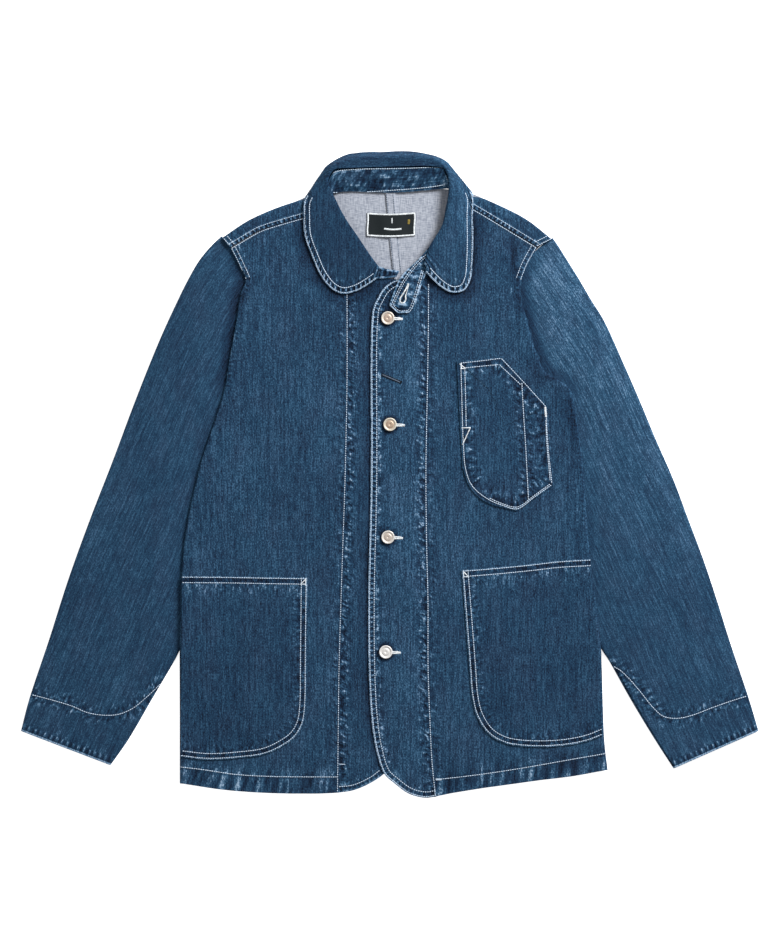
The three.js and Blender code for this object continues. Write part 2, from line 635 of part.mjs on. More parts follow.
// Assembly, from the surface up
add("back_right", backPanel(RIGHT, 15, 8), DENIM_INSIDE);
add("back_left", backPanel(LEFT, 15, 8), DENIM_INSIDE);
add("sleeve_right", sleeve(RIGHT, 20, 6), DENIM);
add("sleeve_left", sleeve(LEFT, 20, 6), DENIM);

const rightFront = frontGrid(RIGHT, 26, 11);
const leftFront = frontGrid(LEFT, 30, 12);
add("front_right", wall(rightFront, CLOTH), DENIM);
const buttonSlits = BUTTON_PLACES.map(({ x, y }) => (
  { x1: x, y1: y, x2: x + BUTTON.slitLength, y2: y, width: BUTTON.slit }));
const frontCutters = [...BUTTON_PLACES.map(holeCutter), ...buttonSlits.map(slitCutter), slitCutter(WATCH_SLIT)];
add("front_left", cut(wall(leftFront, CLOTH), frontCutters), DENIM);

add("hip_pocket_right", pocket(rightFront, HIP_POCKET_RIGHT, 7, 9), DENIM);
add("hip_pocket_left", pocket(leftFront, HIP_POCKET_LEFT, 7, 9), DENIM);
add("chest_pocket", pocket(leftFront, CHEST_POCKET, 6, 8), DENIM);

add("collar_stand", cut(collarStand(34, 3), [slitCutter(TAB_SLIT)]), DENIM);
add("collar_fall", collarFall(44, 8), DENIM);

const label = new THREE.BoxGeometry(LABEL.width, LABEL.height, LABEL.thickness);
label.translate(LABEL.x, LABEL.y, CLOTH + SEAM + LABEL.thickness / 2);
add("neck_label", label, BLACK_TAPE);

BUTTON_PLACES.forEach((place, i) => {
  const under = heightOn(rightFront, place.x, place.y);
  const over = heightOn(leftFront, place.x, place.y);
  add(`button_${i + 1}`, button(place, under, over), TACK_METAL, 0.35, 1);
});

export default jacket;
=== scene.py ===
import math
import bpy
import numpy as np
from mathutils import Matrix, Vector
from mathutils.bvhtree import BVHTree


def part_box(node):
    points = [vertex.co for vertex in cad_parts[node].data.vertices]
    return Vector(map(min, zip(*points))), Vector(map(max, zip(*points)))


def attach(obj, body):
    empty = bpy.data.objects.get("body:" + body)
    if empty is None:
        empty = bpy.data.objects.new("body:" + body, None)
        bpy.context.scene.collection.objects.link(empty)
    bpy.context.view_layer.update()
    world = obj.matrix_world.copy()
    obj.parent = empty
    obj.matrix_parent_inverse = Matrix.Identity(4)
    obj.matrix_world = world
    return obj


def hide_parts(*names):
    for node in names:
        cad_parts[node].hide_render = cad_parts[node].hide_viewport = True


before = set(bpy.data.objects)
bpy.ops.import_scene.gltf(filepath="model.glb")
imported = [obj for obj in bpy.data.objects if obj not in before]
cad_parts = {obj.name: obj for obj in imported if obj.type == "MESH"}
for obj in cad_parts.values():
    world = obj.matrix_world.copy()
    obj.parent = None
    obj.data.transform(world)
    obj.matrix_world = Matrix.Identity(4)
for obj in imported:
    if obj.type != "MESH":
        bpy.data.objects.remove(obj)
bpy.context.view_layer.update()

# The view: the jacket lies on its back and the camera looks straight down on it.
# One pixel of the 780 x 936 picture shows 1.2 mm of cloth. One of the pixels shows the frame's origin.
MM = 0.001
MM_PER_PX = 1.2
PHOTO_HEIGHT_PX = 936
ORIGIN_PX = (390, 474)
LENS_MM = 120
SENSOR_MM = 36
picture_middle_y = (ORIGIN_PX[1] - PHOTO_HEIGHT_PX / 2) * MM_PER_PX * MM
camera_height = PHOTO_HEIGHT_PX * MM_PER_PX * MM * LENS_MM / SENSOR_MM
bpy.ops.object.select_all(action="DESELECT")
bpy.ops.object.camera_add(location=(0, picture_middle_y, camera_height), rotation=(0, 0, 0))
camera = bpy.context.object
camera.data.lens = LENS_MM
camera.data.sensor_width = SENSOR_MM
bpy.context.scene.camera = camera

# The studio: a wide table top and a soft lamp up and to the right, so shadows fall down and to the left.
# A weak lamp from the other side and a white room all round fill them in.
TABLE_WIDTH = 9
TABLE_HEIGHT = -0.0004
LAMPS = {
    "key_lamp": {"place": (2.0, 2.2, 1.95), "size": 1.4, "energy": 212},
    "fill_lamp": {"place": (-1.6, -0.6, 2.4), "size": 2.4, "energy": 12},
}
ROOM_STRENGTH = 0.34
bpy.ops.mesh.primitive_plane_add(size=TABLE_WIDTH, location=(0, 0, TABLE_HEIGHT))
table_top = bpy.context.object
table_top.name = "table_top"
for lamp_name, lamp_facts in LAMPS.items():
    bpy.ops.object.light_add(type="AREA", location=lamp_facts["place"])
    lamp = bpy.context.object
    lamp.name = lamp_name
    lamp.rotation_euler = Vector(lamp_facts["place"]).to_track_quat("Z", "Y").to_euler()
    lamp.data.shape = "DISK"
    lamp.data.size = lamp_facts["size"]
    lamp.data.energy = lamp_facts["energy"]
room = bpy.data.worlds.new("white_room")
bpy.context.scene.world = room
room.use_nodes = True
room.node_tree.nodes["Background"].inputs["Color"].default_value = (1, 1, 1, 1)
room.node_tree.nodes["Background"].inputs["Strength"].default_value = ROOM_STRENGTH
bpy.context.scene.view_settings.view_transform = "Standard"


# The table top's opal white board, lit from below as on a light table, so that it stays pure white under
# the shadows. It is matt, with a grain too fine to see from above.
def linear(hex_colour, alpha=1.0):
    """An sRGB hex colour as the linear numbers that a shader takes."""
    channels = [int(hex_colour[i:i + 2], 16) / 255 for i in (1, 3, 5)]
    return [c / 12.92 if c <= 0.04045 else ((c + 0.055) / 1.055) ** 2.4 for c in channels] + [alpha]


def add_node(tree, kind, feeds=(), **settings):
    """Adds a shader node with its settings, and feeds its inputs from nodes, sockets or plain values."""
    made = tree.nodes.new("ShaderNode" + kind)
    for key, value in settings.items():
        setattr(made, key, value)
    for key, feed in (feeds.items() if isinstance(feeds, dict) else enumerate(feeds)):
        if isinstance(feed, bpy.types.Node):
            feed = feed.outputs[0]
        if isinstance(feed, bpy.types.NodeSocket):
            tree.links.new(feed, made.inputs[key])
        elif feed is not None:
            made.inputs[key].default_value = feed
    return made


def new_material(name):
    """An empty material: its node tree, its Principled shader, and itself."""
    material = bpy.data.materials.new(name)
    material.use_nodes = True
    return material.node_tree, material.node_tree.nodes["Principled BSDF"], material


BOARD_GLOW = 0.75
board_tree, board_shader, white_board = new_material("opal_white_board")
board_shader.inputs["Base Color"].default_value = linear("#f4f4f4")
board_shader.inputs["Roughness"].default_value = 0.9
board_shader.inputs["Emission Color"].default_value = (1, 1, 1, 1)
board_shader.inputs["Emission Strength"].default_value = BOARD_GLOW
board_grain = add_node(board_tree, "TexNoise", {"Scale": 300.0, "Detail": 2.0})
board_bump = add_node(board_tree, "Bump", {"Height": board_grain, "Strength": 0.05, "Distance": 0.0002})
board_tree.links.new(board_bump.outputs[0], board_shader.inputs["Normal"])
table_top.data.materials.append(white_board)


# Denim: a cotton twill of indigo warp over grey-white weft, stone washed. The warp's uneven yarns give
# streaks along the grain, and every seam ropes up and rubs pale, so each piece carries where its seams lie.
# How a seam shows at each distance from it, in millimetres: how much paler or darker the cloth is there,
# and how much the roping swings it both ways. Each stop is a distance, a change and a swing.
PLACKET_EDGE = ((0, 0.42, 0.05), (1.8, 0.36, 0.08), (2.6, -0.12, 0.32), (5.4, -0.12, 0.34), (6.4, 0.02, 0.06),
                (7.8, -0.08, 0.14), (9.6, 0.07, 0.38), (11.4, 0.05, 0.36), (13.5, -0.05, 0.16),
                (17, -0.04, 0.08), (24, 0, 0))
LEAF_EDGE = ((0, 0.5, 0.06), (1.7, 0.46, 0.1), (2.4, 0.0, 0.5), (5.6, -0.04, 0.5), (6.4, 0.1, 0.12),
             (8.0, -0.12, 0.14), (11, 0.0, 0.24), (16, 0.02, 0.2), (22, 0, 0.06), (28, 0, 0))
HIP_POCKET_EDGE = ((0, 0.3, 0.1), (1.2, 0.2, 0.1), (2.4, -0.22, 0.3), (5.6, -0.22, 0.36), (6.6, -0.06, 0.16),
                   (8.4, -0.08, 0.26), (12, 0.0, 0.24), (18, 0, 0.12), (26, 0, 0))
BREAST_POCKET_EDGE = ((0, 0.12, 0.1), (1.4, 0.04, 0.1), (2.6, -0.2, 0.2), (5.6, -0.2, 0.24), (6.6, -0.12, 0.3),
                      (9, -0.06, 0.42), (14, 0, 0.36), (19, 0, 0.14), (26, 0, 0))
FELLED_SEAM = ((0, 0.0, 0.1), (1.0, -0.08, 0.34), (3.8, -0.08, 0.34), (4.8, 0.26, 0.12), (5.8, 0.08, 0.1),
               (7.4, -0.08, 0.1), (12, 0, 0.1), (18, 0, 0))
STITCHED_LINE = ((0, -0.14, 0.14), (1.4, -0.16, 0.26), (2.8, -0.05, 0.42), (7.5, 0.0, 0.4), (11, 0, 0.18),
                 (16, 0, 0.04), (24, 0, 0))
ROPED_HEM = ((0, -0.1, 0.3), (1.2, 0.0, 0.36), (9, -0.02, 0.42), (16, -0.06, 0.4), (19, -0.16, 0.2),
             (21, -0.02, 0.26), (27, 0, 0.14), (34, 0, 0))
CUFF_EDGE = ((0, 0.0, 0.0), (0.7, 0.42, 0.04), (2.0, 0.4, 0.06), (2.8, -0.28, 0.1), (3.8, -0.14, 0.26),
             (7.5, 0.0, 0.3), (10.5, 0, 0.16), (15, 0, 0.08), (22, 0, 0))
POCKET_MOUTH = ((0, 0.0, 0.0), (7.4, -0.02, 0.06), (9, 0.12, 0.12), (14, 0.11, 0.14), (22, 0.05, 0.1),
                (34, 0, 0))
LADDER_FADES = 1.7
ROPING_RISE = 1.5
YARN_FADES_TO = 0.76
# From the darkest indigo to the palest rubbed cotton, each colour at its share of the fading
DENIM_FADES = ((0.0, "#081424"), (0.18, "#12243a"), (0.36, "#172f47"), (0.52, "#1e3a53"), (0.66, "#274862"),
               (0.79, "#3c5e7b"), (0.9, "#63819b"), (1.0, "#8aa1b8"))


def seam_effect(tree, attribute, stops, period, stretch, slant=0.0, ladder=None):
    """Turns a piece's seam marks into a paler or darker cloth, and into the roping beside the seam.
    A ladder is an even row of puckers beside the seam: their step, and how far from the seam they reach."""
    seams = add_node(tree, "Attribute", attribute_name=attribute)
    marks = add_node(tree, "SeparateXYZ", [seams.outputs["Vector"]])
    away = add_node(tree, "Math", [marks.outputs[1]], operation="ABSOLUTE")
    skewed = add_node(tree, "Math", [marks.outputs[1], slant, marks.outputs[0]], operation="MULTIPLY_ADD")
    skewed = add_node(tree, "Math", [skewed, 1 / (period * MM)], operation="MULTIPLY")
    across = add_node(tree, "Math", [marks.outputs[1], 1 / (stretch * MM)], operation="MULTIPLY")
    place = add_node(tree, "CombineXYZ", [skewed, across, stretch + period])
    swing = add_node(tree, "TexNoise", {"Vector": place, "Scale": 1.0, "Detail": 1.5, "Roughness": 0.6})
    swing = add_node(tree, "MapRange", [swing, 0.32, 0.68, -1.0, 1.0])
    if ladder:
        step, ladder_ends = ladder
        even = add_node(tree, "Math", [marks.outputs[0], 2 * math.pi / (step * MM)], operation="MULTIPLY")
        even = add_node(tree, "Math", [swing, even], operation="ADD")
        even = add_node(tree, "Math", [even], operation="SINE")
        even = add_node(tree, "Math", [swing, 0.3, even], operation="MULTIPLY_ADD")
        faded_out = ladder_ends + LADDER_FADES
        between_rows = add_node(tree, "MapRange", [away, ladder_ends * MM, faded_out * MM, 1.0, 0.0])
        swing = add_node(tree, "Mix", {0: between_rows, 2: swing, 3: even})
    reach = stops[-1][0]
    share = add_node(tree, "Math", [away, 1 / (reach * MM)], operation="MULTIPLY")
    profile = add_node(tree, "ValToRGB", [share])
    ramp = profile.color_ramp
    for number, (distance, bias, amount) in enumerate(stops):
        stop = ramp.elements[number] if number < 2 else ramp.elements.new(distance / reach)
        stop.position = distance / reach
        stop.color = (bias + 0.5, amount, 0, 1)
    parts = add_node(tree, "SeparateColor", [profile])
    bias = add_node(tree, "Math", [parts.outputs[0], 0.5], operation="SUBTRACT")
    roped = add_node(tree, "Math", [parts.outputs[1], swing], operation="MULTIPLY")
    both = add_node(tree, "Math", [bias, roped], operation="ADD")
    shade = add_node(tree, "Math", [both, marks.outputs[2]], operation="MULTIPLY")
    height = add_node(tree, "Math", [roped, marks.outputs[2]], operation="MULTIPLY")
    return shade, height


def weave_noise(tree, weave, stretch, **inputs):
    """Noise laid along the cloth's grain, finer or longer each way."""
    place = add_node(tree, "VectorMath", [weave, stretch], operation="MULTIPLY")
    return add_node(tree, "TexNoise", {"Vector": place, "Scale": 1.0, **inputs})


def washed_denim(name, tone=0.0, edge=PLACKET_EDGE, edge_period=4.5, edge_ladder=(5.8, 5.8), hem=ROPED_HEM,
                 hem_period=9.0, hem_length=60.0, hem_slant=0.25, hem_ladder=None, grain=1.0):
    """Stone-washed indigo denim, right side: dull, streaked along the warp, pale where it has rubbed."""
    tree, shader, material = new_material(name)
    weave = add_node(tree, "UVMap", uv_map="weave")
    # warp yarns are about 0.7 mm apart and swell every few centimetres; the finest are drawn twice as wide
    slubs = weave_noise(tree, weave, (640, 88, 1), Detail=2.0, Roughness=0.7)
    specks = weave_noise(tree, weave, (760, 460, 3), Detail=1.0)
    patches = weave_noise(tree, weave, (14, 9, 5), Detail=3.0)
    mottles = weave_noise(tree, weave, (90, 48, 9), Detail=2.0)
    lengths = weave_noise(tree, weave, (430, 14, 6), Detail=2.0)
    streaks = 0.29 * grain
    total = add_node(tree, "MapRange", [slubs, 0.25, 0.75, 0.5 + tone - streaks, 0.5 + tone + streaks])
    for noise, amount in ((specks, 0.32 * grain), (lengths, 0.17), (mottles, 0.06), (patches, 0.07)):
        swing = add_node(tree, "MapRange", [noise, 0.25, 0.75, -amount, amount])
        total = add_node(tree, "Math", [total, swing], operation="ADD")
    # the yarn alone never fades as far as a rubbed seam does
    total = add_node(tree, "Math", [total, YARN_FADES_TO + tone, 0.2], operation="SMOOTH_MIN")
    # each piece's tone attribute adds painted shade and painted highlights to the cloth's colour
    painted_shade_and_light = add_node(tree, "Attribute", attribute_name="tone")
    total = add_node(tree, "Math", [total, painted_shade_and_light.outputs["Fac"]], operation="ADD")
    rise = add_node(tree, "MapRange", [slubs, 0.2, 0.8, 0.0, 0.12])
    for attribute, stops, period, stretch, slant, ladder in (
            ("seam", STITCHED_LINE, 5.0, 8.0, 0.3, None),
            ("edge", edge, edge_period, 2 * edge_period, 0.0, edge_ladder),
            ("hem", hem, hem_period, hem_length, hem_slant, hem_ladder)):
        shade, height = seam_effect(tree, attribute, stops, period, stretch, slant, ladder)
        total = add_node(tree, "Math", [total, shade], operation="ADD")
        rise = add_node(tree, "Math", [height, ROPING_RISE, rise], operation="MULTIPLY_ADD")
    fades = add_node(tree, "ValToRGB", [total])
    ramp = fades.color_ramp
    for number, (place, colour) in enumerate(DENIM_FADES):
        stop = ramp.elements[number] if number < 2 else ramp.elements.new(place)
        stop.position = place
        stop.color = linear(colour)
    # the weft shows through greyer and redder in soft patches
    drift = weave_noise(tree, weave, (34, 20, 7), Detail=3.0)
    drift = add_node(tree, "MapRange", [drift, 0.42, 0.66, 0.0, 0.1])
    tinted = add_node(tree, "Mix", {0: drift, 6: fades, 7: linear("#5a5f80")}, data_type="RGBA",
                      blend_type="COLOR")
    tree.links.new(tinted.outputs[2], shader.inputs["Base Color"])
    twill = add_node(tree, "TexWave", {"Vector": weave, "Scale": 170.0, "Distortion": 0.6, "Detail": 1.0},
                     bands_direction="DIAGONAL")
    rise = add_node(tree, "Math", [twill, 0.05, rise], operation="MULTIPLY_ADD")
    bump = add_node(tree, "Bump", {"Height": rise, "Strength": 0.9, "Distance": 0.001})
    tree.links.new(bump.outputs[0], shader.inputs["Normal"])
    shader.inputs["Roughness"].default_value = 0.92
    shader.inputs["Specular IOR Level"].default_value = 0.12
    return material


def inside_denim(name):
    """The wrong side of the same denim: grey-white weft with the indigo warp peeping through in fine lines."""
    tree, shader, material = new_material(name)
    weave = add_node(tree, "UVMap", uv_map="weave")
    lines = weave_noise(tree, weave, (900, 90, 1), Detail=2.0)
    rows = weave_noise(tree, weave, (160, 900, 1), Detail=1.0)
    mixed = add_node(tree, "Math", [lines, rows], operation="ADD")
    colours = add_node(tree, "ValToRGB", [add_node(tree, "MapRange", [mixed, 0.75, 1.25, 0.0, 1.0])])
    colours.color_ramp.elements[0].color = linear("#7b818e")
    colours.color_ramp.elements[1].color = linear("#a8adb7")
    tree.links.new(colours.outputs[0], shader.inputs["Base Color"])
    bump = add_node(tree, "Bump", {"Height": mixed, "Strength": 0.5, "Distance": 0.0003})
    tree.links.new(bump.outputs[0], shader.inputs["Normal"])
    shader.inputs["Roughness"].default_value = 0.95
    shader.inputs["Specular IOR Level"].default_value = 0.2
    return material


# The outlines of the body, as they lie, in millimetres: hem upwards for sides, cuff upwards for sleeves.
# They are the same as the solids' outlines; the wearer's right is at minus X. The layers lie on each other:
# the back on the table, the sleeves' edges on it, and the fronts over the sleeves.
CLOTH = 1.2
SEAM_GAP = 0.3
BACK_MID = CLOTH / 2
LIP_MID = BACK_MID + CLOTH + SEAM_GAP
SLEEVE_EDGE_MID = 3.6
SLEEVE_CROWN_MID = 5.2
FRONT_MID = 5.3
FRONT_OVER_SLEEVE_MID = 7.5
LIP_OVER_SLEEVE_MID = SLEEVE_EDGE_MID + CLOTH + SEAM_GAP
RIGHT = {
    "side": -1,
    "edge": [(-252, -371), (-252, -295), (-252, -211), (-250, -125), (-247, -85), (-240, -43), (-226, 16),
             (-210, 64), (-198, 104), (-192, 140), (-185, 178), (-179, 216), (-173, 233), (-182, 253),
             (-191, 271)],
    "front": [(-63, -382), (-44, -379), (-23, -370), (-7, -359), (5, -346), (13, -329), (18, -301), (18, -100),
              (18, 100), (18, 211), (14, 232), (-12, 237), (-36, 251), (-58, 273), (-74, 298), (-86, 313)],
    "hem": [(-252, -371), (-205, -378), (-154, -382), (-92, -383), (-63, -382)],
    "shoulder_seam": [(-191, 271), (-166, 286), (-155, 292), (-103, 308), (-86, 313)],
    "shoulder_fold": [(-201.5, 283), (-168, 305), (-122, 324), (-98, 329.5), (-84, 325)],
    "back_outer": [(-250.5, -367), (-250.5, -240), (-250, -213), (-188.2, -85), (-152.2, 41), (-143.4, 89),
                   (-147, 125), (-156.2, 185), (-171.2, 233), (-179.8, 253), (-189, 271.5), (-201.5, 283)],
    "back_hem": [(-250.5, -367), (-150, -362), (5.85, -348)],
    "back_centre": [(5.85, -348), (5.85, 341)],
    "back_neck": [(5.85, 341), (-20, 341), (-62, 340), (-76, 334), (-84, 325)],
    "sleeve_outer": [(-442.6, -308), (-433, -271), (-409, -199), (-386, -127), (-360, -55), (-332, 17),
                     (-305, 89), (-276, 161), (-254, 209), (-242, 233), (-228, 257), (-212, 276),
                     (-201.6, 285.4)],
    "sleeve_inner": [(-335, -349), (-314, -319), (-286, -271), (-258, -223), (-252, -211), (-190, -85),
                     (-154, 41), (-146, 89)],
    "armhole": [(-201.6, 285.4), (-191, 271), (-182, 253), (-173, 233), (-158, 185), (-149, 125), (-146, 89)],
}
LEFT = {
    "side": 1,
    "edge": [(261, -355), (257, -319), (253, -211), (250, -179), (241, -109), (236, -58), (232, 5), (224, 65),
             (216, 101), (199, 114), (186, 122), (174, 149), (164, 185), (156, 214), (157, 232), (164, 250),
             (176, 272)],
    "front": [(56, -386), (44, -388), (31, -386), (19, -381), (6, -371), (-7, -359), (-17, -328), (-22, -295),
              (-25, -247), (-26, -151), (-23, -7), (-23, 156), (-22, 182), (-20, 199), (-14, 212), (-7, 223),
              (6, 232), (34, 235), (55, 254), (70, 281), (82, 314), (86, 325)],
    "hem": [(261, -355), (222, -362), (181, -367), (152, -371), (108, -377), (77, -382), (56, -386)],
    "shoulder_seam": [(176, 272), (137, 296), (100, 318), (86, 325)],
    "shoulder_fold": [(194.5, 281), (164, 305), (127, 324), (108, 331.5), (97, 332), (86, 328.5)],
    "back_outer": [(259, -352), (255.5, -319), (250, -215), (217, -150), (187, -85), (152, 41), (143.4, 89),
                   (147, 149), (153.2, 209), (158, 232), (166.6, 253.5), (178.8, 272.5), (194.5, 281)],
    "back_hem": [(259, -352), (150, -350), (6.15, -348)],
    "back_centre": [(6.15, -348), (6.15, 150), (6.15, 222), (4.2, 240), (-0.5, 282), (-5.5, 341)],
    "back_neck": [(-5.5, 341), (30, 341), (64, 342), (77, 337), (86, 328.5)],
    "sleeve_outer": [(442, -308), (431, -271), (407, -199), (392, -151), (376, -103), (358, -55), (340, -7),
                     (319, 41), (299, 89), (278, 137), (256, 185), (241, 209), (227, 233), (212, 257),
                     (200, 276), (194.4, 283.6)],
    "sleeve_inner": [(340, -353), (318, -319), (289, -271), (262, -223), (254, -211), (190, -85), (154, 41),
                     (146, 89)],
    "armhole": [(194.4, 283.6), (181, 272), (169, 253), (160, 232), (155, 209), (149, 149), (146, 89)],
}
TUCK_STARTS, TUCK_FULL, TUCK_RAMP = -250, -212, 55
OVERLAP_RISE, OVERLAP_FULL_TO, OVERLAP_GONE_AT = 1.6, 20, 46
FOLD_REACH = 2.4
# Troughs and ridges pressed in by wear: from x, y to x, y, how wide, and how far down or up
FOLDS = [(-198, 195, -187, 182, 12, -0.9), (147, 280, 148, 250, 10, -0.9), (186, 115, 222, 114, 12, -0.9),
         (215, 71, 228, 16, 18, -0.8), (226, -62, 230, -105, 14, -0.9), (-330, -70, -262, -35, 40, 0.7),
         (300, -120, 352, -150, 40, 0.7), (-160, 120, -60, 40, 60, 0.7), (60, 60, 200, -60, 60, 0.6),
         (-170, -40, -60, -90, 60, -0.6), (70, -60, 180, -90, 50, -0.6), (248, -135, 262, -205, 14, -0.6)]
SHARP_TURN = math.radians(50)


def smooth(t):
    """An easy rise from 0 to 1."""
    c = np.clip(t, 0, 1)
    return c * c * (3 - 2 * c)


def line(points, step=2.0):
    """A smooth line through a few points, cornered where it turns sharply, read by share of its length."""
    points = np.array(points, float)
    drawn = [points[:1]]
    start = 0
    for i in range(1, len(points)):
        before = points[i] - points[i - 1]
        last = i == len(points) - 1
        after = -before if last else points[i + 1] - points[i]
        turn = math.acos(np.clip(before @ after / np.linalg.norm(before) / np.linalg.norm(after), -1, 1))
        if turn > SHARP_TURN:
            drawn.append(through(points[start:i + 1], step))
            start = i
    drawn = np.concatenate(drawn)
    length = np.concatenate([[0], np.cumsum(np.linalg.norm(np.diff(drawn, axis=0), axis=1))])

    def at(shares):
        wanted = np.clip(shares, 0, 1) * length[-1]
        return np.stack([np.interp(wanted, length, drawn[:, k]) for k in range(drawn.shape[1])], -1)

    at.length = length[-1]
    return at


def through(points, step):
    """A centripetal curve through one stretch of points, without its first point."""
    ends = np.concatenate([[2 * points[0] - points[1]], points, [2 * points[-1] - points[-2]]])
    out = []
    for a, b, c, d in zip(ends, ends[1:], ends[2:], ends[3:]):
        gaps = [max(np.linalg.norm(q - p), 1e-6) ** 0.5 for p, q in ((a, b), (b, c), (c, d))]
        leave = ((b - a) / gaps[0] - (c - a) / (gaps[0] + gaps[1]) + (c - b) / gaps[1]) * gaps[1]
        reach = ((c - b) / gaps[1] - (d - b) / (gaps[1] + gaps[2]) + (d - c) / gaps[2]) * gaps[1]
        count = max(2, int(np.linalg.norm(c - b) / step))
        t = np.linspace(0, 1, count + 1)[1:, None]
        out.append((2 * t ** 3 - 3 * t ** 2 + 1) * b + (t ** 3 - 2 * t ** 2 + t) * leave
                   + (3 * t ** 2 - 2 * t ** 3) * c + (t ** 3 - t ** 2) * reach)
    return np.concatenate(out)


def billow(x, y, size, seed):
    """Soft uneven swells over a surface, from -1 to 1."""
    heights = np.random.default_rng(seed).uniform(-1, 1, (64, 64))
    column, row = np.floor(x / size).astype(int), np.floor(y / size).astype(int)
    across, up = smooth(x / size - column), smooth(y / size - row)
    left, right = column % 64, (column + 1) % 64
    below, above = row % 64, (row + 1) % 64
    low = heights[left, below] * (1 - across) + heights[right, below] * across
    high = heights[left, above] * (1 - across) + heights[right, above] * across
    return low * (1 - up) + high * up


def edge_x(half, y):
    """Where a front's side edge lies at each height."""
    edge = np.array(half["edge"], float)
    return np.interp(y, edge[:, 1], edge[:, 0])


def fold_rise(x, y):
    """The pressed folds and the cloth's own soft unevenness at each point."""
    rise = 0.28 * billow(x, y, 38, 3) + 0.16 * billow(x, y, 17, 4)
    for x1, y1, x2, y2, width, depth in FOLDS:
        length = math.hypot(x2 - x1, y2 - y1)
        t = np.clip(((x - x1) * (x2 - x1) + (y - y1) * (y2 - y1)) / length ** 2, 0, 1)
        away = np.hypot(x - x1 - t * (x2 - x1), y - y1 - t * (y2 - y1))
        rise = rise + depth * smooth(1 - away / width) * np.sin(math.pi * (0.15 + 0.7 * t))
    return rise


def front_mid(half, x, y):
    """The height of a front's middle: on the back, lifted by the sleeve tucked under its side edge."""
    inward = (edge_x(half, y) - x) * half["side"]
    tucked = smooth((y - TUCK_STARTS) / (TUCK_FULL - TUCK_STARTS)) * smooth(1 - inward / TUCK_RAMP)
    rise = FRONT_MID + (FRONT_OVER_SLEEVE_MID - FRONT_MID) * tucked
    if half["side"] > 0:
        rise = rise + OVERLAP_RISE * smooth((OVERLAP_GONE_AT - x) / (OVERLAP_GONE_AT - OVERLAP_FULL_TO))
    return rise + fold_rise(x, y) * smooth((inward - 6) / 25)


def fold_round(edge, inward, low_mid, high_mid, turns):
    """Half a turn of folded cloth at an edge, from underneath round the outside to the top."""
    centre = edge + inward * (CLOTH / 2 + FOLD_REACH)
    angle = np.radians(np.linspace(-90, 90, turns))[:, None]
    flat = centre[..., None, :2] - inward[..., None, :2] * FOLD_REACH * np.cos(angle)
    height = ((high_mid + low_mid) / 2)[:, None] + ((high_mid - low_mid) / 2)[:, None] * np.sin(angle[:, 0])
    return np.concatenate([flat, height[..., None]], -1)


# The back, cut in two and felled down the centre. It lies on the table wrong side up inside the neck, and
# each half wraps forward over its shoulder to the shoulder seam.
denim_body = washed_denim("stone_washed_denim_body")
denim_back = washed_denim("stone_washed_denim_back", edge=FELLED_SEAM, edge_period=5.0,
                          edge_ladder=(5.6, 4.4))
denim_wrong_side = inside_denim("unbleached_weft_wrong_side")
# The left half laps over the right at the felled seam: where it ends, and how softly it steps up
LAP_ENDS, LAP_RAMP = 9.4, 3.5
NECK_STARTS = 0.8


def lay_off(x, y, route):
    """How far along a drawn route each point lies, and how far to its left (minus) or right (plus)."""
    route = np.array(route, float)[:, :2]
    nearest = np.full(x.shape, 1e9)
    along = np.zeros(x.shape)
    across = np.full(x.shape, 1e9)
    done = 0.0
    for start, end in zip(route, route[1:]):
        way = end - start
        length = np.linalg.norm(way)
        if length < 1e-9:
            continue
        t = np.clip(((x - start[0]) * way[0] + (y - start[1]) * way[1]) / length ** 2, 0, 1)
        dx, dy = x - start[0] - t * way[0], y - start[1] - t * way[1]
        away = np.hypot(dx, dy)
        closer = away < nearest
        nearest = np.where(closer, away, nearest)
        along = np.where(closer, done + t * length, along)
        across = np.where(closer, away * np.sign(way[1] * dx - way[0] * dy + 1e-9), across)
        done += length
    return along, across


def seam_marks(x, y, routes, drawn_step=7.0):
    """For each point, the nearest of several seams: along it, away from it and how strongly it shows."""
    best = np.zeros(x.shape + (3,))
    best[..., 1] = 1000.0
    for number, (points, strength) in enumerate(routes):
        route = line(points)
        route = route(np.linspace(0, 1, max(3, int(route.length / drawn_step))))
        along, across = lay_off(x, y, route)
        mark = np.stack([along + 700.0 * number, across, np.full(x.shape, strength)], -1)
        best = np.where((np.abs(across) < np.abs(best[..., 1]))[..., None], mark, best)
    return best


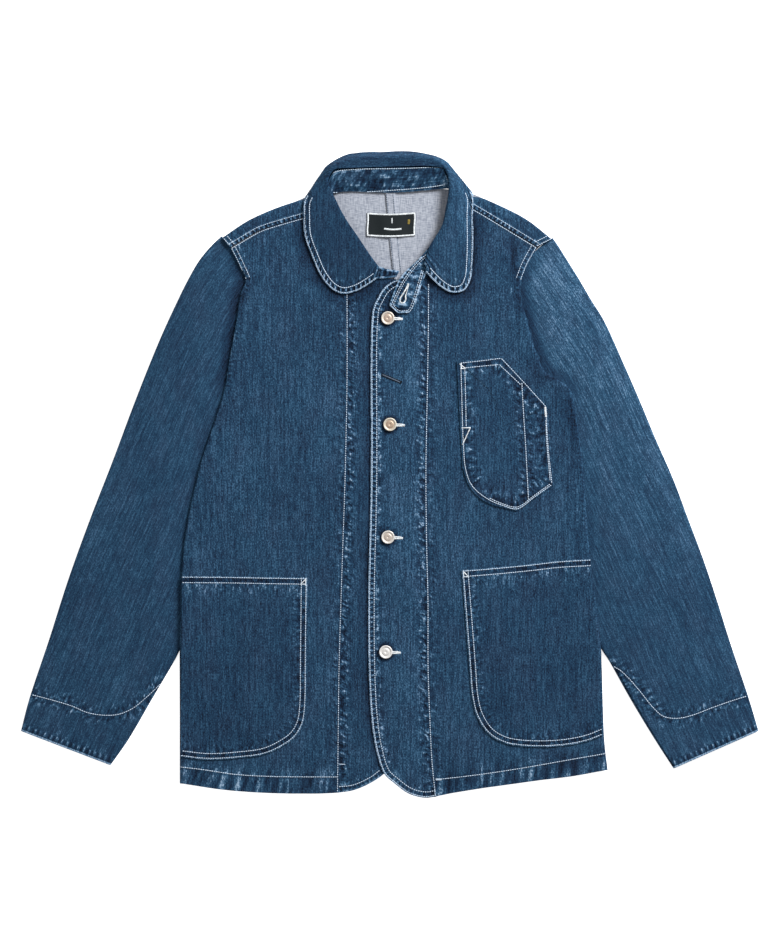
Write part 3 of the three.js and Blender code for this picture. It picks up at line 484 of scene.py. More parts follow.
def cloth(name, grid, thickness, weave, marks, materials, ring=False):
    """A piece of cloth from a grid of middle points in millimetres, with its wall, grain and seam marks."""
    rows, columns = grid.shape[:2]
    spots = np.arange(rows * columns).reshape(rows, columns)
    ahead = np.roll(spots, -1, 1) if ring else spots[:, 1:]
    here = spots if ring else spots[:, :-1]
    faces = np.stack([here[:-1], ahead[:-1], ahead[1:], here[1:]], -1).reshape(-1, 4)
    corners = np.stack([weave[:-1, :-1], weave[:-1, 1:], weave[1:, 1:], weave[1:, :-1]], 2)
    mesh = bpy.data.meshes.new(name + "_cloth")
    mesh.from_pydata((grid.reshape(-1, 3) * MM).tolist(), [], faces.tolist())
    layer = mesh.uv_layers.new(name="weave")
    layer.data.foreach_set("uv", (corners.reshape(-1) * MM).astype(np.float32))
    for key in ("seam", "edge", "hem"):
        values = marks.get(key)
        if values is None:
            values = np.tile([0.0, 1000.0, 0.0], (rows, columns, 1))
        attribute = mesh.attributes.new(key, "FLOAT_VECTOR", "POINT")
        scaled = values * np.array([MM, MM, 1.0])
        attribute.data.foreach_set("vector", scaled.reshape(-1).astype(np.float32))
    tone = mesh.attributes.new("tone", "FLOAT", "POINT")
    tones = np.broadcast_to(marks.get("tone", 0.0), (rows, columns))
    tone.data.foreach_set("value", tones.reshape(-1).astype(np.float32))
    piece = bpy.data.objects.new(name + "_cloth", mesh)
    bpy.context.collection.objects.link(piece)
    for material in materials:
        mesh.materials.append(material)
    bpy.ops.object.select_all(action="DESELECT")
    piece.select_set(True)
    bpy.context.view_layer.objects.active = piece
    bpy.ops.object.modifier_add(type="SOLIDIFY")
    wall = piece.modifiers[-1]
    wall.thickness = thickness * MM
    wall.offset = 0
    wall.material_offset = len(materials) - 1
    bpy.ops.object.modifier_apply(modifier=wall.name)
    bpy.ops.object.shade_smooth_by_angle(angle=math.radians(55))
    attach(piece, "root")
    return piece


def back_panel(name, half, rows=150, columns=56, fold_turns=9):
    """Half the back: flat on the table, then folded forward over the shoulder as a flap."""
    outer, centre, neck = line(half["back_outer"]), line(half["back_centre"]), line(half["back_neck"])
    hem, fold, seam = line(half["back_hem"]), line(half["shoulder_fold"]), line(half["shoulder_seam"])
    v = np.linspace(0, 1, rows) ** 0.8 * 0.985
    u = np.linspace(0, 1, columns)
    past_neck = (v - NECK_STARTS) / (1 - NECK_STARTS)
    inner = np.where((v < NECK_STARTS)[:, None], centre(v / NECK_STARTS), neck(past_neck))
    across = u[:, None]
    flat = outer(v)[:, None] * (1 - across) + inner[:, None] * across
    near_hem, near_fold = smooth(1 - v / 0.15)[:, None, None], smooth((v - 0.8) / 0.2)[:, None, None]
    flat += near_hem * (hem(u) - (1 - across) * outer(0) - across * centre(0))
    flat += near_fold * (fold(u) - (1 - across) * outer(1) - across * neck(1))
    low = np.full(flat.shape[:2], BACK_MID)
    if half["side"] > 0:
        lapped = smooth((LAP_ENDS - flat[..., 0]) / LAP_RAMP) * smooth((flat[..., 1] - 195) / 27)
        low = low + (CLOTH + SEAM_GAP) * lapped
    down = seam(u) - fold(u)
    down /= np.linalg.norm(down, axis=1)[:, None]
    end = seam(u) - down * (SEAM_GAP + 0.3)
    top = front_mid(half, end[:, 0], end[:, 1])
    over = fold_round(fold(u), down, np.full(columns, BACK_MID), top, fold_turns)
    steps = np.linspace(0, 1, 8)[1:, None, None]
    flap = over[None, :, -1] * (1 - steps) + np.concatenate([end, top[:, None]], 1)[None] * steps
    grid = np.concatenate([np.concatenate([flat, low[..., None]], -1), over.transpose(1, 0, 2), flap])
    grid = grid[:, ::half["side"]]
    x, y = grid[..., 0], grid[..., 1]
    weave = np.stack([x, y], -1)
    marks = {"edge": seam_marks(x, y, [(half["shoulder_seam"], 1.0)])}
    marks["edge"][:rows, :, 2] = 0
    piece = cloth(name, grid, CLOTH, weave, marks, [denim_back, denim_wrong_side])
    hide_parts(name)
    return piece


back_right = back_panel("back_right", RIGHT)
back_left = back_panel("back_left", LEFT)


# The sleeves: each a flattened tube, hemmed at the cuff, its head sewn into the armhole and its inner
# edge tucked under the body's side.
denim_sleeve = washed_denim("stone_washed_denim_sleeve", tone=0.02, hem=CUFF_EDGE, hem_period=6.0,
                            hem_length=20.0, hem_ladder=(7.0, 8.0), grain=0.68)
SLEEVE_UNDER_BODY = 5


def from_picture(*pixels):
    """Pixels of the 780 x 936 picture as millimetres on the jacket."""
    return [((x - ORIGIN_PX[0]) * MM_PER_PX, (ORIGIN_PX[1] - y) * MM_PER_PX) for x, y in pixels]


CUFF_LINES = {
    "sleeve_right": from_picture((32.4, 694.6), (48.8, 698.7), (71.2, 705.3), (90.6, 713), (116, 714.5),
                                 (132.4, 708.4), (147.8, 696), (160.5, 683.9)),
    "sleeve_left": from_picture((746, 696), (732.2, 700.2), (711.8, 707.3), (691.4, 715), (677, 718),
                                (662.9, 716), (652.7, 707.3), (640.4, 692), (630, 679.8), (620, 670.2),
                                (611.8, 665.4)),
}


def sleeve(name, half, painted_highlight_up, rows=190, columns=44, fold_turns=9):
    """A flattened tube: the lower layer on the table, the upper one crowned, and a soft fold at each side."""
    outer, inner, armhole = line(half["sleeve_outer"]), line(half["sleeve_inner"]), line(half["armhole"])
    s = np.linspace(0, 1, rows)
    start, end = outer(s), inner(s)
    across = (end - start) / np.linalg.norm(end - start, axis=1)[:, None]
    head = smooth((s - 0.72) / 0.28)[:, None, None]

    def place(w, lap):
        flat = start[:, None] * (1 - w[:, None]) + end[:, None] * w[:, None]
        flat = flat + head * (armhole(w) - (1 - w[:, None]) * outer(1) - w[:, None] * inner(1))
        shift = lap * SLEEVE_UNDER_BODY * head[..., 0] * smooth(w / 0.2) * smooth((1 - w) / 0.1)
        flat[..., 0] -= half["side"] * shift
        return flat

    w = np.linspace(0, 1, columns)[1:-1]
    upper = place(w, 1)
    x, y = upper[..., 0], upper[..., 1]
    body_edge = line(half["edge"])(np.linspace(0, 1, 60))
    clear = np.where((x - edge_x(half, y)) * half["side"] > 0, np.abs(lay_off(x, y, body_edge)[1]), 0)
    from_outer = np.linalg.norm(upper - start[:, None], axis=2)
    crown = smooth(from_outer / 24) * smooth((clear - 3) / 30) * smooth((1 - s) / 0.06)[:, None]
    swell = SLEEVE_CROWN_MID - SLEEVE_EDGE_MID + fold_rise(x, y)
    upper = np.concatenate([upper, (SLEEVE_EDGE_MID + swell * crown)[..., None]], -1)
    flat_under = place(w, 0)
    under = np.concatenate([flat_under, np.full(flat_under.shape[:2] + (1,), BACK_MID)], -1)
    ends = place(np.array([0.0, 1.0]), 0)
    low, high = np.full(rows, BACK_MID), np.full(rows, SLEEVE_EDGE_MID)
    outer_rim = fold_round(ends[:, 0], across, low, high, fold_turns)
    inner_rim = fold_round(ends[:, 1], -across, low, high, fold_turns)[:, ::-1]
    seam_column = under.shape[1] // 2
    under_outer, under_inner = under[:, :seam_column][:, ::-1], under[:, seam_column:][:, ::-1]
    grid = np.concatenate([under_outer, outer_rim, upper, inner_rim, under_inner], 1)
    grid = grid[:, ::-half["side"]]
    around = np.linalg.norm(np.diff(grid, axis=1, append=grid[:, :1]), axis=2)
    u = np.concatenate([np.zeros((rows, 1)), np.cumsum(around, 1)], 1)
    u = u - u[:, -1:] / 2
    v = np.broadcast_to((s * outer.length)[:, None], u.shape)
    x, y = grid[..., 0], grid[..., 1]
    cuff = [tuple(outer(0)), tuple(inner(0))]
    marks = {
        "hem": seam_marks(x, y, [(cuff, 1.0)]),
        "seam": seam_marks(x, y, [(CUFF_LINES[name], 0.8)]),
    }
    # painted shade beside the body, deepest where the armhole's edge folds over it, and a painted highlight
    # growing up the sleeve
    up = smooth((y + 250) / 450)
    outside = (x - edge_x(half, y)) * half["side"] > 0
    beside = np.where(outside, np.abs(lay_off(x, y, body_edge)[1]), 99)
    shadow = (0.08 + 0.32 * smooth((y - 95) / 25) * smooth((262 - y) / 30)) * smooth(1 - beside / 16)
    marks["tone"] = painted_highlight_up * up - shadow
    piece = cloth(name, grid, CLOTH, np.stack([u, v], -1), marks, [denim_sleeve, denim_wrong_side], ring=True)
    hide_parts(name)
    return piece


# the last number is a painted highlight towards the top of each sleeve, the side nearer the lamp
sleeve_right = sleeve("sleeve_right", RIGHT, 0.0)
sleeve_left = sleeve("sleeve_left", LEFT, 0.13)


# The fronts: the right one lies under, the left one crosses over it. Each has a facing, seen as one line of
# stitching down the chest, a rounded lower corner, a turned hem, and its side edge folded under.
FACING_RIGHT = from_picture((347, 292), (347, 380), (345, 480), (343, 540), (341, 600), (339, 670),
                            (338.4, 720), (337.4, 796))
FACING_LEFT = from_picture((428.4, 284), (428.2, 330), (427, 400), (425.8, 470), (426.4, 540), (427.8, 600),
                           (428, 670), (429.8, 720), (431.8, 760), (435.4, 797))
CROSSING_EDGE = LEFT["front"][:18]
ARMHOLE_RIGHT = RIGHT["edge"][-4:]
ARMHOLE_LEFT = LEFT["edge"][-4:]
SIDE_RIGHT = [(-198, 104), (-192, 140), (-185, 178), (-180, 210)]
SIDE_LEFT = [(236, -58), (232, 5), (224, 65), (216, 101)]
LOWER_CORNERS = -330
LIP_WIDTH = 3.0


def part_of(points, start, end):
    """The stretch of a smooth line between two shares of its length, as a few points."""
    return [tuple(p) for p in line(points)(np.linspace(start, end, 24))]


def front_grid(half, rows, columns, fold_turns=9):
    """The middle of a front: a lip turned under, the fold at the side edge, and the panel."""
    side, front = line(half["edge"]), line(half["front"])
    hem, shoulder = line(half["hem"]), line(half["shoulder_seam"])
    t = np.linspace(0, 1, rows)
    v = t - 0.35 * np.sin(2 * math.pi * t) / (2 * math.pi)
    u = np.linspace(0, 1, columns)[1:]
    start, end = side(v), front(v)
    inward = np.broadcast_to(np.array([-half["side"], 0.0]), start.shape)
    along = smooth((start[:, 1] - TUCK_STARTS) / (TUCK_FULL - TUCK_STARTS))
    lip_height = LIP_MID + (LIP_OVER_SLEEVE_MID - LIP_MID) * along
    rim = fold_round(start, inward, lip_height, front_mid(half, start[:, 0], start[:, 1]), fold_turns)
    lip = rim[:, :1] + np.array([-LIP_WIDTH * half["side"], 0, 0])
    across = u[:, None]
    flat = rim[:, -1:, :2] * (1 - across) + end[:, None] * across
    near_hem, near_shoulder = smooth(1 - v / 0.2)[:, None, None], smooth((v - 0.8) / 0.2)[:, None, None]
    flat += near_hem * (hem(u) - (1 - across) * side(0) - across * front(0))
    flat += near_shoulder * (shoulder(u) - (1 - across) * side(1) - across * front(1))
    high = front_mid(half, flat[..., 0], flat[..., 1])
    body = np.concatenate([flat, high[..., None]], -1)
    grid = np.concatenate([lip, rim, body], 1)
    return grid[:, ::-half["side"]]


def ripple(along, period, seed):
    """Soft uneven ripples along a line, from -1 to 1."""
    heights = np.random.default_rng(seed).uniform(-1, 1, 2048)
    cell = np.floor(along / period).astype(int)
    part = smooth(along / period - cell)
    return heights[cell % 2048] * (1 - part) + heights[(cell + 1) % 2048] * part


def roped(x, y, marks, key, height, period, reach, seed):
    """The ripples that sewing pulls into the cloth beside its seams."""
    along, away = marks[key][..., 0], np.abs(marks[key][..., 1])
    swing = ripple(along + 0.4 * away, period, seed)
    return height * swing * smooth(1 - away / reach) * marks[key][..., 2]


def front(name, half, routes, rows=250, columns=98):
    """A front panel with its seams marked, roped and faded."""
    grid = front_grid(half, rows, columns)
    x, y = grid[..., 0], grid[..., 1]
    marks = {key: seam_marks(x, y, routes[key]) for key in ("seam", "edge", "hem")}
    marks["seam"][..., 2] *= np.where(marks["seam"][..., 1] * half["side"] > 0, 1, 0.45)
    marks["edge"][..., 2] *= 1 - 0.4 * smooth((LOWER_CORNERS - y) / 25)
    rise = roped(x, y, marks, "seam", 0.3, 5, 12, 11) + roped(x, y, marks, "hem", 0.55, 8, 26, 12)
    rise += roped(x, y, marks, "edge", 0.25, 4, 12, 13)
    grid[..., 2] += rise * smooth(((edge_x(half, y) - x) * half["side"] - 3) / 10)
    marks["tone"] = routes["tone"](x, y)
    piece = cloth(name, grid, CLOTH, np.stack([x, y], -1), marks, [denim_body, denim_wrong_side])
    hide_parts(name)
    return piece


# Painted shade: the cloth is darkened beside the collar's leaves, round the button caps and in the bottoms of
# creases
LEAF_RIGHT = [(-26, 227), (-40, 219.4), (-56.4, 216), (-70, 222), (-82.8, 237.6), (-93.6, 261.6),
              (-102, 286), (-103.2, 307), (-102, 322)]
LEAF_LEFT = [(42.8, 241.9), (50.4, 233.6), (61.2, 223.9), (74.4, 217.4), (88.8, 220.2), (96, 232.2),
             (98.6, 254.4), (99.4, 280.8), (99, 309.6)]
TAB_SIDE = [(12, 238), (4, 216), (-2, 202), (6, 194)]
BUTTON_PLACES = [(-2.6, 186.8), (0, 59.4), (-2.4, -75.6), (-5, -213)]
# Each crease: from x, y to x, y, how wide, and how much painted shade (minus) or painted highlight (plus)
CREASES = [(147, 282, 151, 238, 8, -0.28), (151, 246, 158, 192, 10, -0.24), (180, 117, 226, 114, 6, -0.32),
           (186, 109, 226, 107, 6, 0.1), (166, 146, 184, 116, 16, -0.14), (-176, 236, -185, 186, 10, -0.3),
           (213, 100, 224, 46, 10, -0.24), (214, 72, 229, 14, 9, -0.12), (230, 14, 238, -60, 8, -0.12),
           (224, -62, 228, -102, 8, -0.12), (201, 106, 222, 40, 26, -0.07), (-198, 195, -187, 182, 7, -0.14),
           (-176, 190, -150, 120, 16, -0.06),
           (-90, 150, -70, 60, 24, 0.05), (-200, 20, -150, -60, 30, 0.04), (60, -40, 90, -160, 22, 0.05)]


def painted_shade_and_highlights(x, y):
    """Painted shade and highlights on a front: how much paler or darker it is at each point, beside the leaves
    and along the creases.
    """
    tone = np.zeros(x.shape)
    for leaf in (LEAF_RIGHT, LEAF_LEFT):
        under = np.abs(lay_off(x, y, leaf)[1])
        tone -= 0.3 * smooth(1 - under / 20) + 0.28 * smooth(1 - under / 6)
    for x1, y1, x2, y2, width, change in CREASES:
        along, away = lay_off(x, y, [(x1, y1), (x2, y2)])
        length = math.hypot(x2 - x1, y2 - y1)
        tone += change * smooth(1 - np.abs(away) / width) * np.sin(math.pi * (0.1 + 0.8 * along / length))
    return tone


def right_tone(x, y):
    """The right front is darker where the left one crosses over it: painted shade there, and a painted shadow
    along the crossing edge.
    """
    crossed = np.abs(lay_off(x, y, line(CROSSING_EDGE)(np.linspace(0, 1, 50)))[1])
    shade_under_left_front = 0.12 * smooth((x + 44) / 22) * smooth((y + 340) / 40)
    return painted_shade_and_highlights(x, y) - shade_under_left_front - 0.36 * smooth(1 - crossed / 5)


def left_tone(x, y):
    """The left front is darker beside the tab and in a ring round each button: painted shadow."""
    tone = painted_shade_and_highlights(x, y) + 0.05 * smooth((40 - x) / 6)
    tone -= 0.42 * smooth(1 - np.abs(lay_off(x, y, TAB_SIDE)[1]) / 13)
    for cap_x, cap_y in BUTTON_PLACES:
        tone = tone - 0.6 * smooth(1 - np.abs(np.hypot(x - cap_x, y - cap_y) - 8.6) / 3.6)
    return tone


front_right = front("front_right", RIGHT, {
    "seam": [(FACING_RIGHT, 1.0)],
    "edge": [(part_of(RIGHT["front"], 0, 0.14), 0.9), (ARMHOLE_RIGHT, 0.6), (SIDE_RIGHT, 0.3)],
    "hem": [(RIGHT["hem"], 1.0), (RIGHT["shoulder_seam"], 0.2)],
    "tone": right_tone,
})
front_left = front("front_left", LEFT, {
    "seam": [(FACING_LEFT, 1.0)],
    "edge": [(CROSSING_EDGE, 1.0), (ARMHOLE_LEFT, 0.45), (SIDE_LEFT, 0.25)],
    "hem": [(LEFT["hem"], 1.0), (LEFT["shoulder_seam"], 0.2)],
    "tone": left_tone,
})


# The pockets: patches of darker denim laid on the fronts, double stitched round the edge. The hip pockets'
# outer edges are caught in the side seams; the breast pocket has a cut-off corner and a pen channel.
denim_pocket = washed_denim("stone_washed_denim_pocket", tone=-0.05, edge=HIP_POCKET_EDGE, edge_period=3.6,
                            edge_ladder=None, hem=POCKET_MOUTH, hem_period=2.6, hem_length=26.0)
denim_breast = washed_denim("stone_washed_denim_breast_pocket", tone=-0.04, edge=BREAST_POCKET_EDGE,
                            edge_period=6.0, edge_ladder=None, hem=POCKET_MOUTH, hem_period=2.6,
                            hem_length=26.0)
POCKET_LIE = CLOTH + SEAM_GAP + 0.35
# The patch swells a little between its seams
POCKET_SWELL = 0.25
PEN_LINE = from_picture((521.5, 383), (523, 410), (525.5, 450), (528.2, 501))
POCKETS = {
    "hip_pocket_right": {
        "half": RIGHT, "flat": (0.152, 0.218), "area": 0.031, "on": "front_right", "rubbed": 1.0,
        "denim": denim_pocket,
        "top": [(-248.8, -122), (-191, -122.5), (-136, -123.5), (-99, -124)],
        "bottom": [(-250.6, -338.5), (-218, -342), (-181, -340), (-150, -335.5), (-128, -325.5), (-113, -314),
                   (-104, -298), (-101, -278)],
        "sewn": [(-99, -124), (-100, -213), (-101, -278), (-104, -298), (-113, -314), (-128, -325.5),
                 (-150, -335.5), (-181, -340), (-218, -342), (-252, -338.5)],
    },
    "hip_pocket_left": {
        "half": LEFT, "flat": (0.168, 0.222), "area": 0.032, "on": "front_left", "rubbed": 0.8,
        "denim": denim_pocket,
        "top": [(240, -101.6), (201, -104), (166, -108), (113, -113), (86, -115)],
        "bottom": [(255, -312.4), (236, -320), (201, -326), (159, -326), (137, -322), (118, -311), (104, -290),
                   (98, -267)],
        "sewn": [(86, -115), (91, -178), (95.2, -232), (98, -267), (104, -290), (118, -311), (137, -322),
                 (159, -326), (201, -326), (236, -320), (257, -312)],
    },
    "chest_pocket": {
        "half": LEFT, "flat": (0.118, 0.184), "area": 0.0165, "on": "front_left", "rubbed": 0.3,
        "denim": denim_breast, "channel": PEN_LINE,
        "top": [(80, 135), (134, 140), (161, 110), (188, 80)],
        "bottom": [(87, 8), (96, -16), (114, -33), (152, -44), (175, -28), (197, -13)],
        "sewn": [(80, 135), (82, 90), (84, 56), (87, 8), (96, -16), (114, -33), (152, -44), (197, -13),
                 (192, 40), (188, 80)],
    },
}


def pocket(name, facts, rows=96, columns=70):
    """A patch between its mouth and its lower outline, lying on its front panel."""
    top, bottom = line(facts["top"]), line(facts["bottom"])
    u, v = np.linspace(0, 1, columns), np.linspace(0, 1, rows)[:, None, None]
    flat = bottom(u)[None] * (1 - v) + top(u)[None] * v
    if flat[0, 0, 0] > flat[0, -1, 0]:
        flat = flat[:, ::-1]
    x, y = flat[..., 0], flat[..., 1]
    marks = {
        "edge": seam_marks(x, y, [(facts["sewn"], 1.0), (facts["top"], 0.9)]),
        "hem": seam_marks(x, y, [(facts["top"], facts["rubbed"])]),
    }
    if "channel" in facts:
        marks["seam"] = seam_marks(x, y, [(facts["channel"], 0.8)])
    rise = roped(x, y, marks, "edge", 0.25, 4.5, 16, 21)
    high = front_mid(facts["half"], x, y) + POCKET_LIE + rise + POCKET_SWELL
    high = high - POCKET_SWELL * smooth(1 - np.abs(marks["edge"][..., 1]) / 6)
    grid = np.concatenate([flat, high[..., None]], -1)
    piece = cloth(name, grid, CLOTH, np.stack([x + 500, y], -1), marks, [facts["denim"], denim_wrong_side])
    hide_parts(name)
    return piece


pockets = {name: pocket(name, facts) for name, facts in POCKETS.items()}


# The collar: a stand round the neck that runs out into the buttonhole tab, and the fall that rolls over it
# and lies open in two rounded leaves. Both are interlined, so they are thicker than the panels.
ROPED_STAND = ((0, 0.0, 0.16), (3, 0.0, 0.36), (24, 0.0, 0.36), (34, 0, 0.3), (60, 0, 0))
denim_fall = washed_denim("stone_washed_denim_collar", tone=-0.05, edge=LEAF_EDGE, edge_period=5.0,
                          edge_ladder=(5.6, 6.2), grain=0.8)
denim_stand = washed_denim("stone_washed_denim_stand", tone=-0.02, hem=ROPED_STAND, hem_period=5.4,
                           hem_length=12.0, hem_slant=0.0, grain=0.6)
FALL_CLOTH, FALL_FLAT, FALL_AREA = 2.2, (0.065, 0.47), 0.0225
STAND_CLOTH, STAND_FLAT, STAND_AREA = 2.0, (0.034, 0.46), 0.0099
# The stand: lower edge x, y, z, then upper edge x, y, z, from the tab's tip round the back to the plain end
STAND = [
    (28, 194.5, 8.9, -2, 200.6, 8.9), (39, 230, 8.7, 13, 236, 8.9), (46, 245, 8.0, 34, 257, 9.6),
    (60, 262, 7.4, 50, 276, 10.2), (73, 285, 7.4, 62, 297, 10.6), (82, 310, 7.6, 67, 320, 11.0),
    (83, 330, 8.2, 71, 343, 11.4), (70, 343, 3.6, 64, 366, 11.6), (8, 337.8, 3.0, 8, 367, 11.6),
    (-66, 337, 3.6, -66, 363, 11.4), (-81, 326, 8.0, -74, 350, 11.2), (-82, 300, 7.4, -68, 325, 10.8),
    (-68, 272, 7.3, -54, 298, 10.2), (-48, 250, 7.2, -35, 272, 9.4), (-30, 237, 7.2, -18, 252, 8.4),
    (-10, 234.5, 7.2, -6, 246, 7.6), (8, 236.4, 7.4, 11, 243, 7.4),
]
# The tab's cut-off tip: share of the stand's width and x, y
TAB_TIP = [(0, 27, 198), (0.15, 22.8, 193.2), (0.6, 9.5, 192.6), (1, -0.5, 201.6)]
# The fall: where it leaves the stand, its roll, its widest point and its free edge, each x, y, z
FALL = [
    (41, 252, 11.8, 43.2, 248, 12.4, 43.2, 245, 11.8, 42.8, 241.9, 10.8),
    (43, 258, 11.8, 45, 254.4, 12.8, 47.5, 245, 11.6, 50.4, 233.6, 8.8),
    (45.5, 266, 11.6, 47, 262.8, 13.0, 53, 245, 10.9, 61.2, 223.9, 7.6),
    (48.5, 273.5, 12.1, 49.2, 270, 13.2, 60, 246, 10.8, 74.4, 217.4, 7.5),
    (53.5, 281.5, 12.4, 54, 279, 13.4, 69, 252, 10.8, 88.8, 220.2, 7.5),
    (61, 293.5, 12.2, 61, 289.5, 13.6, 78, 263, 11.0, 96, 232.2, 7.5),
    (65.2, 304, 12.4, 66, 300, 13.8, 83, 278, 11.2, 98.6, 254.4, 7.5),
    (68, 318, 12.6, 69, 313, 14.0, 85, 297, 11.6, 99.4, 280.8, 7.6),
    (70.4, 334, 12.8, 70.6, 327, 14.2, 86, 318, 11.8, 99, 309.6, 7.8),
    (71, 347, 13.0, 72, 341, 14.2, 87, 335, 11.6, 99.6, 329, 8.6),
    (69.4, 357, 13.0, 72.5, 352, 14.0, 87, 346, 9.0, 96.6, 339, 4.4),
    (65, 366.4, 13.0, 67.5, 364, 14.2, 79, 357, 6.6, 86, 344, 1.5),
    (54, 368.2, 13.0, 56, 375, 14.2, 66, 375, 4.6, 62, 344.5, 1.4),
    (30, 368.4, 13.0, 30, 379, 14.4, 31, 385.4, 4.0, 30, 344.5, 1.4),
    (-10, 367.4, 13.0, -10, 379, 14.4, -10, 385.6, 4.0, -10, 344.5, 1.4),
    (-46, 366, 13.0, -48, 376, 14.2, -51, 382.4, 4.2, -46, 344.5, 1.4),
    (-66.6, 364.4, 12.8, -66, 369, 14.0, -76, 368, 5.4, -70, 345, 1.5),
    (-73, 356, 12.8, -73, 359, 13.8, -86, 350.5, 6.6, -88, 342, 1.8),
    (-74.6, 348, 12.6, -76, 352, 13.8, -92, 341.5, 8.6, -99, 334, 4.6),
    (-73, 340, 12.4, -74.5, 346, 13.8, -93.5, 333, 11.4, -102.6, 326, 8.8),
    (-67.6, 327.2, 12.2, -67.2, 331.2, 13.6, -87, 312, 11.6, -103.2, 307, 7.9),
    (-60, 313, 12.0, -58.8, 315, 13.4, -80, 296, 11.2, -102, 286, 7.6),
    (-52, 298, 11.8, -49.2, 298, 13.2, -72, 280, 11.0, -93.6, 261.6, 7.5),
    (-43, 285, 11.4, -39.6, 284, 12.8, -60, 262, 10.8, -82.8, 237.6, 7.5),
    (-34, 273.5, 11.6, -31.2, 271.6, 12.8, -48, 250, 10.8, -70, 222, 7.5),
    (-28, 266, 11.3, -24.6, 261.4, 12.2, -39, 244, 10.8, -56.4, 216, 7.5),
    (-22, 258, 10.9, -19, 252.4, 11.7, -28, 240, 10.7, -40, 219.4, 7.6),
    (-17.5, 252.8, 10.8, -14.4, 245.4, 11.4, -20, 238.4, 10.7, -26, 227, 8.3),
    (-14.5, 248, 10.4, -13.4, 243, 11.0, -14, 239.4, 10.6, -14.6, 235, 10.0),
]


def collar_marks(grid):
    """How far each point of a collar piece lies across it and along it, measured over its own surface."""
    over = np.linalg.norm(np.diff(grid, axis=1), axis=2)
    from_first = np.concatenate([np.zeros((len(grid), 1)), np.cumsum(over, 1)], 1)
    middle = grid[:, grid.shape[1] // 2]
    along = np.concatenate([[0], np.cumsum(np.linalg.norm(np.diff(middle, axis=0), axis=1))])
    along = np.broadcast_to(along[:, None], from_first.shape)
    return from_first, along


def collar_stand(rows=260, columns=21):
    """A band between its lower and its upper edge, cut off at the tab's tip, puckered all along."""
    low, high = line(np.array(STAND)[:, :3]), line(np.array(STAND)[:, 3:])
    s, u = np.linspace(0, 1, rows), np.linspace(0, 1, columns)[:, None]
    grid = low(s)[:, None] * (1 - u) + high(s)[:, None] * u
    grid[..., 2] += 0.5 * np.sin(math.pi * u[:, 0])
    tip = np.array(TAB_TIP)
    near_tip = smooth(1 - s / 0.012)[:, None]
    for axis in (0, 1):
        grid[..., axis] += near_tip * (np.interp(u[:, 0], tip[:, 0], tip[:, axis + 1]) - grid[0, :, axis])
    up, along = collar_marks(grid)
    width = up[:, -1:]
    away = np.minimum(up, width - up)
    grid[..., 2] += 0.28 * ripple(along + 0.6 * up, 4.5, 31) * smooth(away / 5)
    pale = 0.15 + 0.85 * np.maximum(smooth((85 - along) / 20), smooth((along - along.max() + 42) / 15))
    marks = {
        "edge": np.stack([along, np.minimum(away, along), pale], -1),
        "hem": np.stack([along, up + 1.0, np.full(along.shape, 1.0)], -1),
        "tone": 0.07 * smooth((70 - along) / 20),
    }
    piece = cloth("collar_stand", grid, STAND_CLOTH, np.stack([up, along], -1), marks, [denim_stand])
    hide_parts("collar_stand")
    return piece


def grain_round_neck(grid):
    """The collar's grain: straight along the back, turned round each corner, and straight down each leaf."""
    corner_x, corner_y, bend = 62, 338, 18
    x, y = grid[..., 0], grid[..., 1]
    out, up = np.abs(x) - corner_x, y - corner_y
    turned = np.arctan2(np.maximum(out, 0), np.maximum(up, 1e-6))
    leaf = up < 0
    round_corner = (out > 0) & ~leaf
    off = np.where(leaf, out, np.where(round_corner, np.hypot(out, up), up))
    before_leaf = np.where(round_corner, corner_x + bend * turned, np.abs(x))
    run = np.where(leaf, corner_x + bend * math.pi / 2 - up, before_leaf)
    return np.stack([off, run * np.sign(x)], -1)


def collar_fall(rows=300, columns=44):
    """The collar from the stand over its roll to the free edge, swelling a little between its seams."""
    table = np.array(FALL, float)
    s = np.linspace(0, 1, rows)
    ends = [line(table[:, k:k + 3])(s) for k in (0, 3, 6, 9)]
    grid = np.stack([line(np.stack([end[i] for end in ends]), step=0.5)(np.linspace(0, 1, columns))
                     for i in range(rows)])
    down, along = collar_marks(grid)
    from_edge = down[:, -1:] - down
    from_ends = np.minimum(along, along[-1:] - along)
    away = np.minimum(from_edge, from_ends + 1.5)
    grid[..., 2] += 0.3 * ripple(along, 4, 41) * smooth(1 - np.abs(away - 5) / 7)
    grid[..., 2] += 0.35 * billow(along, down, 22, 42)
    x = grid[..., 0]
    marks = {
        "edge": np.stack([along, away, np.full(along.shape, 1.0)], -1),
        # painted light: the leaf at plus x, facing the lamp, is made lighter, and the leaf at minus x a little
        # darker
        "tone": 0.07 * smooth((x - 40) / 30) - 0.03 * smooth((-x - 10) / 40),
    }
    piece = cloth("collar_fall", grid, FALL_CLOTH, grain_round_neck(grid), marks, [denim_fall])
    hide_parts("collar_fall")
    return piece


stand = collar_stand()
fall = collar_fall()


# The woven label inside the back neck: black damask tape with an off-white overlocked border, left plain
# but for three short woven bars.
def label_tape(name, colour, gloss=0.75):
    """Woven polyester tape: close flat weave with a faint shine along its rows."""
    tree, shader, material = new_material(name)
    weave = add_node(tree, "UVMap", uv_map="weave")
    rows = weave_noise(tree, weave, (500, 2200, 1), Detail=1.0)
    colours = add_node(tree, "ValToRGB", [rows])
    colours.color_ramp.elements[0].position = 0.3
    colours.color_ramp.elements[0].color = [c * 0.7 for c in linear(colour)[:3]] + [1]
    colours.color_ramp.elements[1].position = 0.7
    colours.color_ramp.elements[1].color = linear(colour)
    tree.links.new(colours.outputs[0], shader.inputs["Base Color"])
    bump = add_node(tree, "Bump", {"Height": rows, "Strength": 0.5, "Distance": 0.0002})
    tree.links.new(bump.outputs[0], shader.inputs["Normal"])
    shader.inputs["Roughness"].default_value = gloss
    shader.inputs["Specular IOR Level"].default_value = 0.2
    return material


